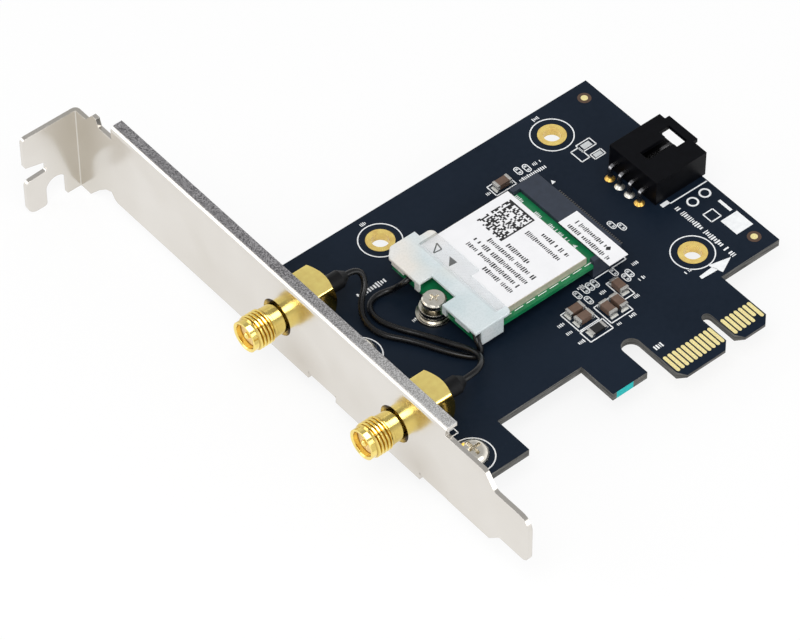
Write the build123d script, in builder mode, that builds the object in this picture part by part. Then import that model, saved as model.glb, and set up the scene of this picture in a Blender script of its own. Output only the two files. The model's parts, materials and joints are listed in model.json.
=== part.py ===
"""Wireless network card for a desktop computer, with two antenna jacks on its bracket.

The carrier board lies in the XY plane with its component face at z = 0.
x = 0 is the middle of the key notch and y = 0 the contact edge that enters the slot.
-X points out through the bracket and +Y to the bracket's top tab.  Sizes are in millimetres.
"""

import os
from math import acos, cos, degrees, pi, radians, sin, tan

from build123d import *

# Carrier board: outline, read anticlockwise from the foot behind the bracket
BOARD_T = 1.57
BOARD_LEFT = -57.15
BOARD_RIGHT = 21.6
BOARD_TOP = 62.5
BOARD_LOW = 12.45
FOOT_RIGHT = -41.9
FOOT_LOW = 4.45
TAB_LEFT = -23.45
TAB_LOW = 4.5
RELIEF_W = 3.65
RELIEF_TOP = 12.3
TONGUE_LEFT = -12.15
TONGUE_RIGHT = 8.15
TONGUE_CORNER = 1.3
KEY_W = 1.9
KEY_DEPTH = 8.05
BEVEL_ANGLE = 20.0

# Edge contacts, on both faces of the tongue
CONTACT_PITCH = 1.0
CONTACT_W = 0.7
CONTACT_LOW = 1.29
CONTACT_HIGH = 5.25
CONTACT_FIRST = -11.5
CONTACTS_BEFORE_KEY = 11
CONTACTS_AFTER_KEY = 7
SHORT_CONTACT_CUT = 0.9
COPPER_T = 0.05

# Plated mounting holes and fiducial marks
MOUNT_HOLES = [(-30.75, 56.2), (8.2, 56.2), (8.2, 19.7)]
MOUNT_HOLE_R = 1.6
PLATING_T = 0.05
MOUNT_LAND_R = 2.6
FIDUCIALS = [(18.5, 59.35), (18.75, 15.7)]
FIDUCIAL_R = 0.65

# Bracket: one folded steel sheet
SHEET_T = 0.86
BEND_R = 0.2
BRACKET_GAP = 0.25
BRACKET_TOP = 105.95
BRACKET_LOW = -14.07
FACE_TOP_Y = 102.3
FACE_HIGH_Z = 11.6
PEAK_Y = (99.1, 100.2)
PEAK_Z = 14.1
RELIEF_Y = 98.6
RELIEF_Z = 12.4
FACE_LOW_Z = -7.0
FACE_EDGE_Z = 13.9
FLANGE_TOP_Z = 15.52
FLANGE_W = 2.48
FLANGE_START = 6.5
FLANGE_END = 94.9
TOP_TAB_DEPTH = 11.43
NOTCH_DEPTH = 4.5
NOTCH_MOUTH = (1.0, 4.7)
NOTCH_ROOT = (1.3, 3.5)
SLOT_W = 4.42
SLOT_FROM_FACE = 5.14
SLOT_TOP_Z = -1.3
TAB_CORNER_R = 1.0
LOBE_R = 0.5
FINGER_R = 1.2
FOOT_R = 2.0
FOOT_INNER_R = 0.7
NOTCH_ROOT_R = 0.5
TONGUE_HIGH_Z = 10.9
TONGUE_LOW_Z = 0.75
TONGUE_TOP_Y = -5.6
TONGUE_STEP_Y = -7.0
SHOULDER_Y = -3.2
SHOULDER_R = 1.6
TONGUE_ROOT_R = 1.4
TONGUE_TIP_R = 2.4
TONGUE_TOE_R = 1.6
TONGUE_STEP_R = 0.8
BOARD_TAB_REACH = 11.25
BOARD_TAB_W = 6.9
TAB_RELIEF = 0.15
RELIEF_UP = 0.15
EDGE_LOW_Z = -2.9
EDGE_FOOT_Z = -1.7
EDGE_FOOT_Y = -4.5

# Screws that hold the board to the bracket's two tabs
BRACKET_SCREWS = [(-49.9, 9.4), (-49.9, 38.3)]
SCREW_R = 1.45
SCREW_HEAD_R = 2.8
SCREW_HEAD_H = 2.0
SCREW_HEAD_ROUND = 1.5
SCREW_BELOW_TAB = 0.6
BOARD_HOLE_CLEAR = 0.15
TAPPED_CLEAR = 0.05
CROSS_L = 3.2
CROSS_W = 0.7
CROSS_DEPTH = 1.1

# Antenna jacks
JACK_Y = {"upper": 49.95, "lower": 19.35}
JACK_Z = 5.4
JACK_REACH = 7.05
THREAD_R = 3.175
THREAD_L = 5.0
NECK_R = 2.82
JACK_HOLE_R = 3.55
BLOCK_W = 7.2
BLOCK_L = 9.2
BLOCK_REAR_R = 3.55
BLOCK_TURN = 30.0
BORE_R = 2.3
BORE_DEPTH = 6.0
INSULATOR_L = 4.8
JACK_PIN_R = 0.6
JACK_PIN_OUT = 0.9
STUB_R = 1.25
STUB_L = 1.8
SLEEVE_R = 1.7
SLEEVE_L = 4.7
SLEEVE_TAPER = 1.4
SLEEVE_END_R = 0.85

# Radio module: plug-in board, shield can, label, screw and standoff
MODULE_LEFT = -34.8
MODULE_Y = 37.15
MODULE_W = 22.0
MODULE_L = 30.0
MODULE_T = 0.8
MODULE_TONGUE_W = 19.85
MODULE_TONGUE_L = 4.0
MODULE_NOTCH_R = 1.75
MODULE_PAD_PITCH = 0.5
MODULE_PAD_W = 0.3
MODULE_PAD_L = 2.2
MODULE_PAD_EDGE = 0.55
SHIELD_LEFT = -29.6
SHIELD_RIGHT = -9.5
SHIELD_FRONT_MARGIN = 1.0
SHIELD_REAR_MARGIN = 0.55
SHIELD_H = 1.5
SHIELD_WALL = 0.2
LABEL_T = 0.1
LABEL_MARGIN = 0.1
STANDOFF_H = 2.5
STANDOFF_R = 2.6
STANDOFF_BASE_R = 3.15
STANDOFF_BASE_H = 0.8
MODULE_SCREW_R = 0.95
MODULE_SCREW_HEAD_R = 2.15
MODULE_SCREW_HEAD_H = 1.1
MODULE_SCREW_IN = 2.2
MODULE_CROSS_L = 1.9
MODULE_CROSS_W = 0.45
MODULE_CROSS_DEPTH = 0.6

# Small coaxial plugs on the module and the cables that reach them
PLUG_X = -31.0
PLUG_Y = {"upper": 30.2, "lower": 44.0}
PLUG_HEADING = {"upper": 220.0, "lower": 190.0}
RECEPTACLE_R = 0.95
RECEPTACLE_H = 0.6
PLUG_R = 1.25
PLUG_FIT = 0.02
PLUG_H = 1.3
PLUG_RISE = 0.1
PLUG_REACH = 1.7
BARREL_R = 0.62
CABLE_R = 0.565
CABLE_LIE = 0.6
CABLE_START = 2.7
CABLE_END = 2.0
CABLE_ROUTES = {
    "upper": [
        (-40.8, 47.75, 3.5),
        (-43.4, 46.2, 1.9),
        (-45.3, 43.2, 0.8),
        (-44.9, 39.0, CABLE_LIE),
        (-41.7, 34.7, CABLE_LIE),
        (-38.7, 28.7, CABLE_LIE),
        (-36.9, 26.0, CABLE_LIE),
        (-35.7, 24.75, 0.7),
        (-35.2, 24.3, 2.3),
        (-35.2, 25.7, 4.0),
    ],
    "lower": [
        (-38.3, 20.6, 4.7),
        (-36.6, 23.2, 3.3),
        (-36.5, 26.4, 2.0),
        (-37.4, 30.0, 0.9),
        (-39.3, 34.2, CABLE_LIE),
        (-41.9, 38.4, CABLE_LIE),
        (-43.3, 42.4, CABLE_LIE),
        (-42.4, 45.4, CABLE_LIE),
        (-39.8, 46.5, CABLE_LIE),
        (-37.4, 45.6, 0.9),
        (-36.5, 44.6, 2.1),
        (-36.35, 43.5, 3.5),
    ],
}

# Clear moulded clip that covers the two plugs
CLIP_LEFT = -35.4
CLIP_RIGHT_LOW = -27.3
CLIP_RIGHT_HIGH = -25.4
CLIP_STEP_Y = 36.5
CLIP_T = 0.6
CLIP_OVER_LOW = 0.45
CLIP_OVER_HIGH = 0.75
CLIP_WALL = 0.45
CLIP_SKIRT_LOW = 1.6
CLIP_SKIRT_LEFT = -34.15
CLIP_SKIRT_RIGHT = -29.2
CLIP_TAB_LEFT = -33.6
CLIP_TAB_RIGHT = -28.1
CLIP_TAB_OUT = 1.3
CLIP_CORNER_CUT = 1.8
CLIP_NOTCH_LOW = 34.4
CLIP_NOTCH_HIGH = 40.45
CLIP_LEG_W = 1.1
CLIP_LEG_LOW = 3.3
CLIP_EDGE_LOW = 4.25
CLIP_EDGE_SPANS = [(27.5, 31.0), (44.4, 47.6)]
CLIP_SCREW_CLEAR = 0.2
CLIP_CORNER_R = 1.1
CLIP_ROUND = 0.25

# Socket that takes the module's tongue
SOCKET_LEFT = -8.7
SOCKET_FRONT = -7.1
SOCKET_RIGHT = -2.45
SOCKET_W = 21.9
SOCKET_H = 4.2
SOCKET_CLEAR = 0.06
TAIL_L = 2.95
TAIL_W = 0.24
TAIL_T = 0.15
TAILS = 33
SOCKET_LABEL_X = (-7.4, -3.2)
SOCKET_LABEL_Y = (23.65, 36.8)

# Four-way shrouded pin header that overhangs the board's edge
HEADER_LEFT = 10.7
HEADER_RIGHT = 22.3
HEADER_Y = 38.04
HEADER_W = 12.1
HEADER_H = 5.45
HEADER_WALL = 0.95
HEADER_BACK = 2.3
HEADER_FLOOR = 0.9
HEADER_ROOF = 0.85
LIP_OUT = 1.0
LIP_Y = (35.4, 42.7)
KEYWAY_Y = (37.1, 39.35)
KEYWAY_X = (13.4, 21.7)
KEYWAY_WIDE_Y = (36.3, 40.9)
KEYWAY_WIDE_X = 19.3
PIN_PITCH = 2.54
PINS = 4
PIN_W = 0.64
PIN_Z = 2.75
PIN_BEND_X = 9.0
PIN_TIP_X = 20.6
PIN_BELOW = 1.1
PIN_HOLE_R = 0.5
SOLDER_R = 0.95
SOLDER_TOP_R = 0.5
SOLDER_H = 0.45

# Chip parts: centre and the angle of the long side
CAPACITORS = [
    (-6.4, 52.6, 0.0),
    (-16.2, 22.3, 0.0),
    (-16.2, 20.1, 0.0),
    (-11.75, 19.0, 90.0),
    (-9.4, 19.0, 90.0),
    (-6.85, 21.7, 90.0),
]
RESISTORS = [(-15.95, 17.0, 0.0)]
CHIP_L = 3.2
CHIP_W = 1.6
CHIP_END = 0.5
CAPACITOR_H = 1.25
RESISTOR_H = 0.55
CHIP_INSET = 0.03
PAD_OUT = 0.3

# Levels and edges that follow from the values above
BOARD_BACK = -BOARD_T
TAB_RIGHT = TONGUE_LEFT - RELIEF_W
FACE_IN = BOARD_LEFT - BRACKET_GAP
FACE_OUT = FACE_IN - SHEET_T
FACE_MID = FACE_IN - SHEET_T / 2
MID_BEND_R = BEND_R + SHEET_T / 2
JACK_FRONT = FACE_OUT - JACK_REACH
BLOCK_REAR = FACE_IN + BLOCK_L
SLEEVE_END = BLOCK_REAR + SLEEVE_L
MODULE_LOW = MODULE_Y - MODULE_W / 2
MODULE_HIGH = MODULE_Y + MODULE_W / 2
MODULE_BODY_RIGHT = MODULE_LEFT + MODULE_L - MODULE_TONGUE_L
MODULE_RIGHT = MODULE_LEFT + MODULE_L
MODULE_TOP = STANDOFF_H + MODULE_T
SHIELD_TOP = MODULE_TOP + SHIELD_H
LABEL_TOP = SHIELD_TOP + LABEL_T
RECEPTACLE_TOP = MODULE_TOP + RECEPTACLE_H
PLUG_LOW = MODULE_TOP + PLUG_RISE
PLUG_CABLE_Z = PLUG_LOW + PLUG_H - BARREL_R + PLUG_RISE
CLIP_LOW = MODULE_LOW - CLIP_OVER_LOW
CLIP_HIGH = MODULE_HIGH + CLIP_OVER_HIGH
HEADER_LOW = HEADER_Y - HEADER_W / 2
HEADER_HIGH = HEADER_Y + HEADER_W / 2


def corner_turn(before, here, after):
    """Angle in radians through which a route turns at a point."""
    first = Vector(*here) - Vector(*before)
    second = Vector(*after) - Vector(*here)
    return acos(first.dot(second) / (first.length * second.length))


def bend_radii(points):
    """Largest arc at each inner point that leaves a short straight between neighbours."""
    radii = []
    for before, here, after in zip(points, points[1:], points[2:]):
        shorter = min((Vector(*here) - Vector(*before)).length, (Vector(*after) - Vector(*here)).length)
        radii.append(0.45 * shorter / tan(corner_turn(before, here, after) / 2))
    return radii


def rectangle_points(x_low, x_high, y_low, y_high):
    """Corners of an upright rectangle, anticlockwise."""
    return [(x_low, y_low), (x_high, y_low), (x_high, y_high), (x_low, y_high)]


def hand_in(builder, name):
    """Label a finished piece and write its file."""
    builder.part.label = name
    export_step(builder.part, f"parts/{name}.step")


os.makedirs("parts", exist_ok=True)

pin_ys = [HEADER_Y + (k - (PINS - 1) / 2) * PIN_PITCH for k in range(PINS)]
screw_tab_ys = [y for _, y in BRACKET_SCREWS]
after_first = CONTACT_FIRST + (CONTACTS_BEFORE_KEY + 2) * CONTACT_PITCH
contact_xs = [CONTACT_FIRST + k * CONTACT_PITCH for k in range(CONTACTS_BEFORE_KEY)]
contact_xs += [after_first + k * CONTACT_PITCH for k in range(CONTACTS_AFTER_KEY)]

# Carrier board
key_half = KEY_W / 2
board_outline = [
    (BOARD_LEFT, FOOT_LOW),
    (FOOT_RIGHT, FOOT_LOW),
    (FOOT_RIGHT, BOARD_LOW),
    (TAB_LEFT, BOARD_LOW),
    (TAB_LEFT, TAB_LOW),
    (TAB_RIGHT, TAB_LOW),
    (TAB_RIGHT, RELIEF_TOP - RELIEF_W / 2),
    (TONGUE_LEFT, RELIEF_TOP - RELIEF_W / 2),
    (TONGUE_LEFT, TONGUE_CORNER),
    (TONGUE_LEFT + TONGUE_CORNER, 0),
    (-key_half - TONGUE_CORNER, 0),
    (-key_half, TONGUE_CORNER),
    (-key_half, KEY_DEPTH - key_half),
    (key_half, KEY_DEPTH - key_half),
    (key_half, TONGUE_CORNER),
    (key_half + TONGUE_CORNER, 0),
    (TONGUE_RIGHT - TONGUE_CORNER, 0),
    (TONGUE_RIGHT, TONGUE_CORNER),
    (TONGUE_RIGHT, BOARD_LOW),
    (BOARD_RIGHT, BOARD_LOW),
    (BOARD_RIGHT, BOARD_TOP),
    (BOARD_LEFT, BOARD_TOP),
]
bevel_in = CONTACT_LOW * tan(radians(BEVEL_ANGLE))
with BuildPart() as main_board:
    with BuildSketch(Plane.XY.offset(BOARD_BACK)):
        Polygon(*board_outline, align=None)
        with Locations(((TAB_RIGHT + TONGUE_LEFT) / 2, RELIEF_TOP - RELIEF_W / 2)):
            Circle(RELIEF_W / 2, mode=Mode.SUBTRACT)
        with Locations((0, KEY_DEPTH - key_half)):
            Circle(key_half, mode=Mode.SUBTRACT)
        with Locations(*MOUNT_HOLES):
            Circle(MOUNT_HOLE_R + PLATING_T, mode=Mode.SUBTRACT)
        with Locations(*BRACKET_SCREWS):
            Circle(SCREW_R + BOARD_HOLE_CLEAR, mode=Mode.SUBTRACT)
        with Locations(*[(PIN_BEND_X, y) for y in pin_ys]):
            Circle(PIN_HOLE_R, mode=Mode.SUBTRACT)
    extrude(amount=BOARD_T)
    with BuildSketch(Plane.YZ.offset(TONGUE_LEFT)):
        Polygon((0, 0), (CONTACT_LOW, 0), (0, -bevel_in), align=None)
        Polygon((0, BOARD_BACK), (CONTACT_LOW, BOARD_BACK), (0, BOARD_BACK + bevel_in), align=None)
    extrude(amount=TONGUE_RIGHT - TONGUE_LEFT, mode=Mode.SUBTRACT)
hand_in(main_board, "main_board")

# Gold contacts: the last but one on the component face is the short one that tells the card is in
with BuildPart() as edge_contacts:
    for base in (0, BOARD_BACK - COPPER_T):
        with BuildSketch(Plane.XY.offset(base)):
            for k, x in enumerate(contact_xs):
                low = CONTACT_LOW
                if base == 0 and k == len(contact_xs) - 2:
                    low = CONTACT_LOW + SHORT_CONTACT_CUT
                with Locations((x, (low + CONTACT_HIGH) / 2)):
                    SlotOverall(CONTACT_HIGH - low, CONTACT_W, rotation=90)
        extrude(amount=COPPER_T)
hand_in(edge_contacts, "edge_contacts")

with BuildPart() as hole_platings:
    for base, thick in ((BOARD_BACK - COPPER_T, COPPER_T), (0, COPPER_T)):
        with BuildSketch(Plane.XY.offset(base)):
            with Locations(*MOUNT_HOLES):
                Circle(MOUNT_LAND_R)
        extrude(amount=thick)
    with BuildSketch(Plane.XY.offset(BOARD_BACK)):
        with Locations(*MOUNT_HOLES):
            Circle(MOUNT_HOLE_R + PLATING_T)
    extrude(amount=BOARD_T)
    with BuildSketch(Plane.XY.offset(BOARD_BACK - COPPER_T)):
        with Locations(*MOUNT_HOLES):
            Circle(MOUNT_HOLE_R)
    extrude(amount=BOARD_T + 2 * COPPER_T, mode=Mode.SUBTRACT)
hand_in(hole_platings, "hole_platings")

with BuildPart() as fiducials:
    with BuildSketch():
        with Locations(*FIDUCIALS):
            Circle(FIDUCIAL_R)
    extrude(amount=COPPER_T)
hand_in(fiducials, "fiducials")

# Bracket: the flat face first, then each bend as a traced strip
tab_zones = [(y - BOARD_TAB_W / 2 - TAB_RELIEF, y + BOARD_TAB_W / 2 + TAB_RELIEF) for y in screw_tab_ys]
tab_edge_z = BOARD_BACK + BEND_R + RELIEF_UP
face_outline = [
    (FACE_TOP_Y, FACE_HIGH_Z),
    (PEAK_Y[1], PEAK_Z),
    (PEAK_Y[0], PEAK_Z),
    (RELIEF_Y, RELIEF_Z),
    (FLANGE_END, RELIEF_Z),
    (FLANGE_END, FACE_EDGE_Z),
    (SHOULDER_Y, FACE_EDGE_Z),
    (TONGUE_TOP_Y, TONGUE_HIGH_Z),
    (BRACKET_LOW, TONGUE_HIGH_Z),
    (BRACKET_LOW, TONGUE_LOW_Z),
    (TONGUE_STEP_Y, TONGUE_LOW_Z),
    (EDGE_FOOT_Y, EDGE_FOOT_Z),
    (tab_zones[0][0], EDGE_FOOT_Z),
    (tab_zones[0][0], tab_edge_z),
    (tab_zones[0][1], tab_edge_z),
    (tab_zones[0][1], EDGE_LOW_Z),
    (tab_zones[1][0], EDGE_LOW_Z),
    (tab_zones[1][0], tab_edge_z),
    (tab_zones[1][1], tab_edge_z),
    (tab_zones[1][1], EDGE_LOW_Z),
    (94.25, EDGE_LOW_Z),
    (95.1, -2.5),
    (95.9, -1.34),
    (97.6, -2.1),
    (99.6, -3.9),
    (FACE_TOP_Y, FACE_LOW_Z),
]
face_rounds = [
    (SHOULDER_Y, FACE_EDGE_Z, SHOULDER_R),
    (TONGUE_TOP_Y, TONGUE_HIGH_Z, TONGUE_ROOT_R),
    (BRACKET_LOW, TONGUE_HIGH_Z, TONGUE_TIP_R),
    (BRACKET_LOW, TONGUE_LOW_Z, TONGUE_TOE_R),
    (TONGUE_STEP_Y, TONGUE_LOW_Z, TONGUE_STEP_R),
    (EDGE_FOOT_Y, EDGE_FOOT_Z, TONGUE_STEP_R),
]
tab_mid_y = BRACKET_TOP - SHEET_T / 2
tab_end_x = FACE_OUT - TOP_TAB_DEPTH
slot_x = FACE_OUT - SLOT_FROM_FACE
tab_rounds = [
    (tab_end_x, FACE_HIGH_Z, TAB_CORNER_R),
    (tab_end_x, NOTCH_MOUTH[1], LOBE_R),
    (tab_end_x, NOTCH_MOUTH[0], FINGER_R),
    (tab_end_x, FACE_LOW_Z, FOOT_R),
    (slot_x - SLOT_W / 2, FACE_LOW_Z, FOOT_INNER_R),
    (tab_end_x + NOTCH_DEPTH, NOTCH_ROOT[0], NOTCH_ROOT_R),
    (tab_end_x + NOTCH_DEPTH, NOTCH_ROOT[1], NOTCH_ROOT_R),
]
flange_mid_z = FLANGE_TOP_Z - SHEET_T / 2
board_tab_mid_z = BOARD_BACK - SHEET_T / 2
with BuildPart() as bracket:
    with BuildSketch(Plane.YZ.offset(FACE_OUT)):
        Polygon(*face_outline, align=None)
    extrude(amount=SHEET_T)
    for y, z, round_r in face_rounds:
        fillet(bracket.edges().filter_by(Axis.X).sort_by_distance((FACE_MID, y, z))[0], round_r)
    with BuildSketch(Plane.XZ.offset(-FLANGE_END)):
        with BuildLine():
            FilletPolyline(
                (FACE_MID, FACE_HIGH_Z),
                (FACE_MID, flange_mid_z),
                (FACE_OUT + FLANGE_W, flange_mid_z),
                radius=MID_BEND_R,
            )
        trace(line_width=SHEET_T)
    extrude(amount=FLANGE_END - FLANGE_START)
    for tab_y in screw_tab_ys:
        with BuildSketch(Plane.XZ.offset(-tab_y - BOARD_TAB_W / 2)):
            with BuildLine():
                FilletPolyline(
                    (FACE_MID, tab_edge_z + SHEET_T),
                    (FACE_MID, board_tab_mid_z),
                    (FACE_IN + BOARD_TAB_REACH, board_tab_mid_z),
                    radius=MID_BEND_R,
                )
            trace(line_width=SHEET_T)
        extrude(amount=BOARD_TAB_W)
    with BuildSketch(Plane.XY.offset(FACE_LOW_Z)):
        with BuildLine():
            FilletPolyline(
                (FACE_MID, FACE_TOP_Y),
                (FACE_MID, tab_mid_y),
                (tab_end_x, tab_mid_y),
                radius=MID_BEND_R,
            )
        trace(line_width=SHEET_T)
    extrude(amount=FACE_HIGH_Z - FACE_LOW_Z)
    with BuildSketch(Plane.XZ.offset(-BRACKET_TOP)):
        Polygon(
            (tab_end_x, NOTCH_MOUTH[0]),
            (tab_end_x + NOTCH_DEPTH, NOTCH_ROOT[0]),
            (tab_end_x + NOTCH_DEPTH, NOTCH_ROOT[1]),
            (tab_end_x, NOTCH_MOUTH[1]),
            align=None,
        )
        with Locations((slot_x, SLOT_TOP_Z - SLOT_W / 2)):
            Circle(SLOT_W / 2)
        Polygon(
            *rectangle_points(slot_x - SLOT_W / 2, slot_x + SLOT_W / 2, FACE_LOW_Z, SLOT_TOP_Z - SLOT_W / 2),
            align=None,
        )
    extrude(amount=SHEET_T, mode=Mode.SUBTRACT)
    for x, z, round_r in tab_rounds:
        fillet(bracket.edges().filter_by(Axis.Y).sort_by_distance((x, tab_mid_y, z))[0], round_r)
    with BuildSketch(Plane.YZ.offset(FACE_OUT)):
        with Locations(*[(y, JACK_Z) for y in JACK_Y.values()]):
            Circle(JACK_HOLE_R)
    extrude(amount=SHEET_T, mode=Mode.SUBTRACT)
    with BuildSketch(Plane.XY.offset(BOARD_BACK - SHEET_T)):
        with Locations(*BRACKET_SCREWS):
            Circle(SCREW_R + TAPPED_CLEAR)
    extrude(amount=SHEET_T, mode=Mode.SUBTRACT)
hand_in(bracket, "bracket")

screw_low = BOARD_BACK - SHEET_T - SCREW_BELOW_TAB
with BuildPart() as bracket_screws:
    with BuildSketch(Plane.XY.offset(screw_low)):
        with Locations(*BRACKET_SCREWS):
            Circle(SCREW_R)
    extrude(amount=-screw_low)
    with BuildSketch():
        with Locations(*BRACKET_SCREWS):
            Circle(SCREW_HEAD_R)
    extrude(amount=SCREW_HEAD_H)
    fillet(bracket_screws.edges().group_by(Axis.Z)[-1], SCREW_HEAD_ROUND)
    with BuildSketch(Plane.XY.offset(SCREW_HEAD_H)):
        with Locations(*BRACKET_SCREWS):
            Rectangle(CROSS_L, CROSS_W)
            Rectangle(CROSS_W, CROSS_L)
    extrude(amount=-CROSS_DEPTH, mode=Mode.SUBTRACT)
hand_in(bracket_screws, "bracket_screws")

# Antenna jacks, their sleeves, cables and plugs
turn_l = (BLOCK_W / 2 ** 0.5 - BLOCK_REAR_R) * tan(radians(BLOCK_TURN))
bore_floor = JACK_FRONT + BORE_DEPTH
insulator_front = bore_floor - INSULATOR_L
for side, jack_y in JACK_Y.items():
    jack_axis = Axis((0, jack_y, JACK_Z), (1, 0, 0))
    half_plane = Plane((0, jack_y, JACK_Z), x_dir=(1, 0, 0), z_dir=(0, -1, 0))
    cross_plane = Plane((0, jack_y, JACK_Z), x_dir=(0, 1, 0), z_dir=(1, 0, 0))

    with BuildPart() as jack_body:
        with BuildSketch(cross_plane.offset(FACE_IN)):
            Rectangle(BLOCK_W, BLOCK_W)
        extrude(amount=BLOCK_L)
        with BuildSketch(half_plane):
            Polygon(
                (FACE_IN, 0),
                (BLOCK_REAR, 0),
                (BLOCK_REAR, BLOCK_REAR_R),
                (BLOCK_REAR - turn_l, BLOCK_W / 2 ** 0.5),
                (FACE_IN, BLOCK_W / 2 ** 0.5),
                align=None,
            )
        revolve(axis=jack_axis, mode=Mode.INTERSECT)
        with BuildSketch(half_plane):
            Polygon(
                (JACK_FRONT, BORE_R),
                (bore_floor, BORE_R),
                (bore_floor, 0),
                (BLOCK_REAR + STUB_L, 0),
                (BLOCK_REAR + STUB_L, STUB_R),
                (FACE_IN, STUB_R),
                (FACE_IN, NECK_R),
                (JACK_FRONT + THREAD_L, NECK_R),
                (JACK_FRONT + THREAD_L, THREAD_R),
                (JACK_FRONT, THREAD_R),
                align=None,
            )
        revolve(axis=jack_axis)
    hand_in(jack_body, f"sma_body_{side}")

    with BuildPart() as insulator:
        with BuildSketch(cross_plane.offset(insulator_front)):
            Circle(BORE_R)
            Circle(JACK_PIN_R, mode=Mode.SUBTRACT)
        extrude(amount=INSULATOR_L)
    hand_in(insulator, f"sma_insulator_{side}")

    with BuildPart() as jack_pin:
        with BuildSketch(cross_plane.offset(insulator_front - JACK_PIN_OUT)):
            Circle(JACK_PIN_R)
        extrude(amount=JACK_PIN_OUT + INSULATOR_L)
        chamfer(jack_pin.edges().group_by(Axis.X)[0], JACK_PIN_R / 3)
    hand_in(jack_pin, f"sma_pin_{side}")

    with BuildPart() as sleeve:
        with BuildSketch(half_plane):
            Polygon(
                (BLOCK_REAR, STUB_R),
                (BLOCK_REAR + STUB_L, STUB_R),
                (BLOCK_REAR + STUB_L, 0),
                (SLEEVE_END, 0),
                (SLEEVE_END, SLEEVE_END_R),
                (SLEEVE_END - SLEEVE_TAPER, SLEEVE_R),
                (BLOCK_REAR, SLEEVE_R),
                align=None,
            )
        revolve(axis=jack_axis)
    hand_in(sleeve, f"heat_shrink_{side}")

    heading = radians(PLUG_HEADING[side])
    out_dir = (cos(heading), sin(heading), 0)
    plug_y = PLUG_Y[side]
    barrel_end = (PLUG_X + PLUG_REACH * out_dir[0], plug_y + PLUG_REACH * out_dir[1], PLUG_CABLE_Z)
    with BuildPart() as plug:
        with BuildSketch(Plane.XY.offset(PLUG_LOW)):
            with Locations((PLUG_X, plug_y)):
                Circle(PLUG_R)
        extrude(amount=PLUG_H)
        with BuildSketch(Plane((PLUG_X, plug_y, PLUG_CABLE_Z), z_dir=out_dir)):
            Circle(BARREL_R)
        extrude(amount=PLUG_REACH)
        with BuildSketch(Plane.XY.offset(PLUG_LOW)):
            with Locations((PLUG_X, plug_y)):
                Circle(RECEPTACLE_R + PLUG_FIT)
        extrude(amount=RECEPTACLE_TOP - PLUG_LOW, mode=Mode.SUBTRACT)
    hand_in(plug, f"cable_plug_{side}")

    near_end = (barrel_end[0] + CABLE_END * out_dir[0], barrel_end[1] + CABLE_END * out_dir[1], PLUG_CABLE_Z)
    route = [(SLEEVE_END, jack_y, JACK_Z), (SLEEVE_END + CABLE_START, jack_y, JACK_Z)]
    route += CABLE_ROUTES[side]
    route += [near_end, barrel_end]
    radii = bend_radii(route)
    with BuildPart() as cable:
        with BuildLine() as centre_line:
            FilletPolyline(*route, radius=radii)
        with BuildSketch(Plane(route[0], z_dir=(1, 0, 0))):
            Circle(CABLE_R)
        sweep()
    hand_in(cable, f"antenna_cable_{side}")
    turns = [degrees(corner_turn(a, b, c)) for a, b, c in zip(route, route[1:], route[2:])]
    print(side, "cable radii", [round(r, 2) for r in radii])
    print(side, "cable turns", [round(t) for t in turns])
    cable_l = sum(edge.length for edge in centre_line.edges())
    print(side, "cable length", round(cable_l, 2))
    print(side, "volume share", round(cable.part.volume / (pi * CABLE_R ** 2 * cable_l), 4))

# Radio module
with BuildPart() as module_board:
    with BuildSketch(Plane.XY.offset(STANDOFF_H)):
        Polygon(*rectangle_points(MODULE_LEFT, MODULE_BODY_RIGHT, MODULE_LOW, MODULE_HIGH), align=None)
        Polygon(
            *rectangle_points(
                MODULE_BODY_RIGHT,
                MODULE_RIGHT,
                MODULE_Y - MODULE_TONGUE_W / 2,
                MODULE_Y + MODULE_TONGUE_W / 2,
            ),
            align=None,
        )
        with Locations((MODULE_LEFT, MODULE_Y)):
            Circle(MODULE_NOTCH_R, mode=Mode.SUBTRACT)
    extrude(amount=MODULE_T)
hand_in(module_board, "module_board")

pad_count = int((MODULE_TONGUE_W - 2 * MODULE_PAD_EDGE) / MODULE_PAD_PITCH)
pad_ys = [MODULE_Y + (k - (pad_count - 1) / 2) * MODULE_PAD_PITCH for k in range(pad_count)]
with BuildPart() as module_contacts:
    with BuildSketch(Plane.XY.offset(MODULE_TOP)):
        with Locations(*[(MODULE_RIGHT - MODULE_PAD_L / 2, y) for y in pad_ys]):
            Rectangle(MODULE_PAD_L, MODULE_PAD_W)
    extrude(amount=COPPER_T)
hand_in(module_contacts, "module_contacts")

shield_low = MODULE_LOW + SHIELD_FRONT_MARGIN
shield_high = MODULE_HIGH - SHIELD_REAR_MARGIN
with BuildPart() as module_shield:
    with BuildSketch(Plane.XY.offset(MODULE_TOP)):
        Polygon(*rectangle_points(SHIELD_LEFT, SHIELD_RIGHT, shield_low, shield_high), align=None)
    extrude(amount=SHIELD_H)
    with BuildSketch(Plane.XY.offset(MODULE_TOP)):
        Polygon(
            *rectangle_points(
                SHIELD_LEFT + SHIELD_WALL,
                SHIELD_RIGHT - SHIELD_WALL,
                shield_low + SHIELD_WALL,
                shield_high - SHIELD_WALL,
            ),
            align=None,
        )
    extrude(amount=SHIELD_H - SHIELD_WALL, mode=Mode.SUBTRACT)
hand_in(module_shield, "module_shield")

with BuildPart() as module_label:
    with BuildSketch(Plane.XY.offset(SHIELD_TOP)):
        Polygon(
            *rectangle_points(
                SHIELD_LEFT + LABEL_MARGIN,
                SHIELD_RIGHT - LABEL_MARGIN,
                shield_low + LABEL_MARGIN,
                shield_high - LABEL_MARGIN,
            ),
            align=None,
        )
    extrude(amount=LABEL_T)
hand_in(module_label, "module_label")

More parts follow.
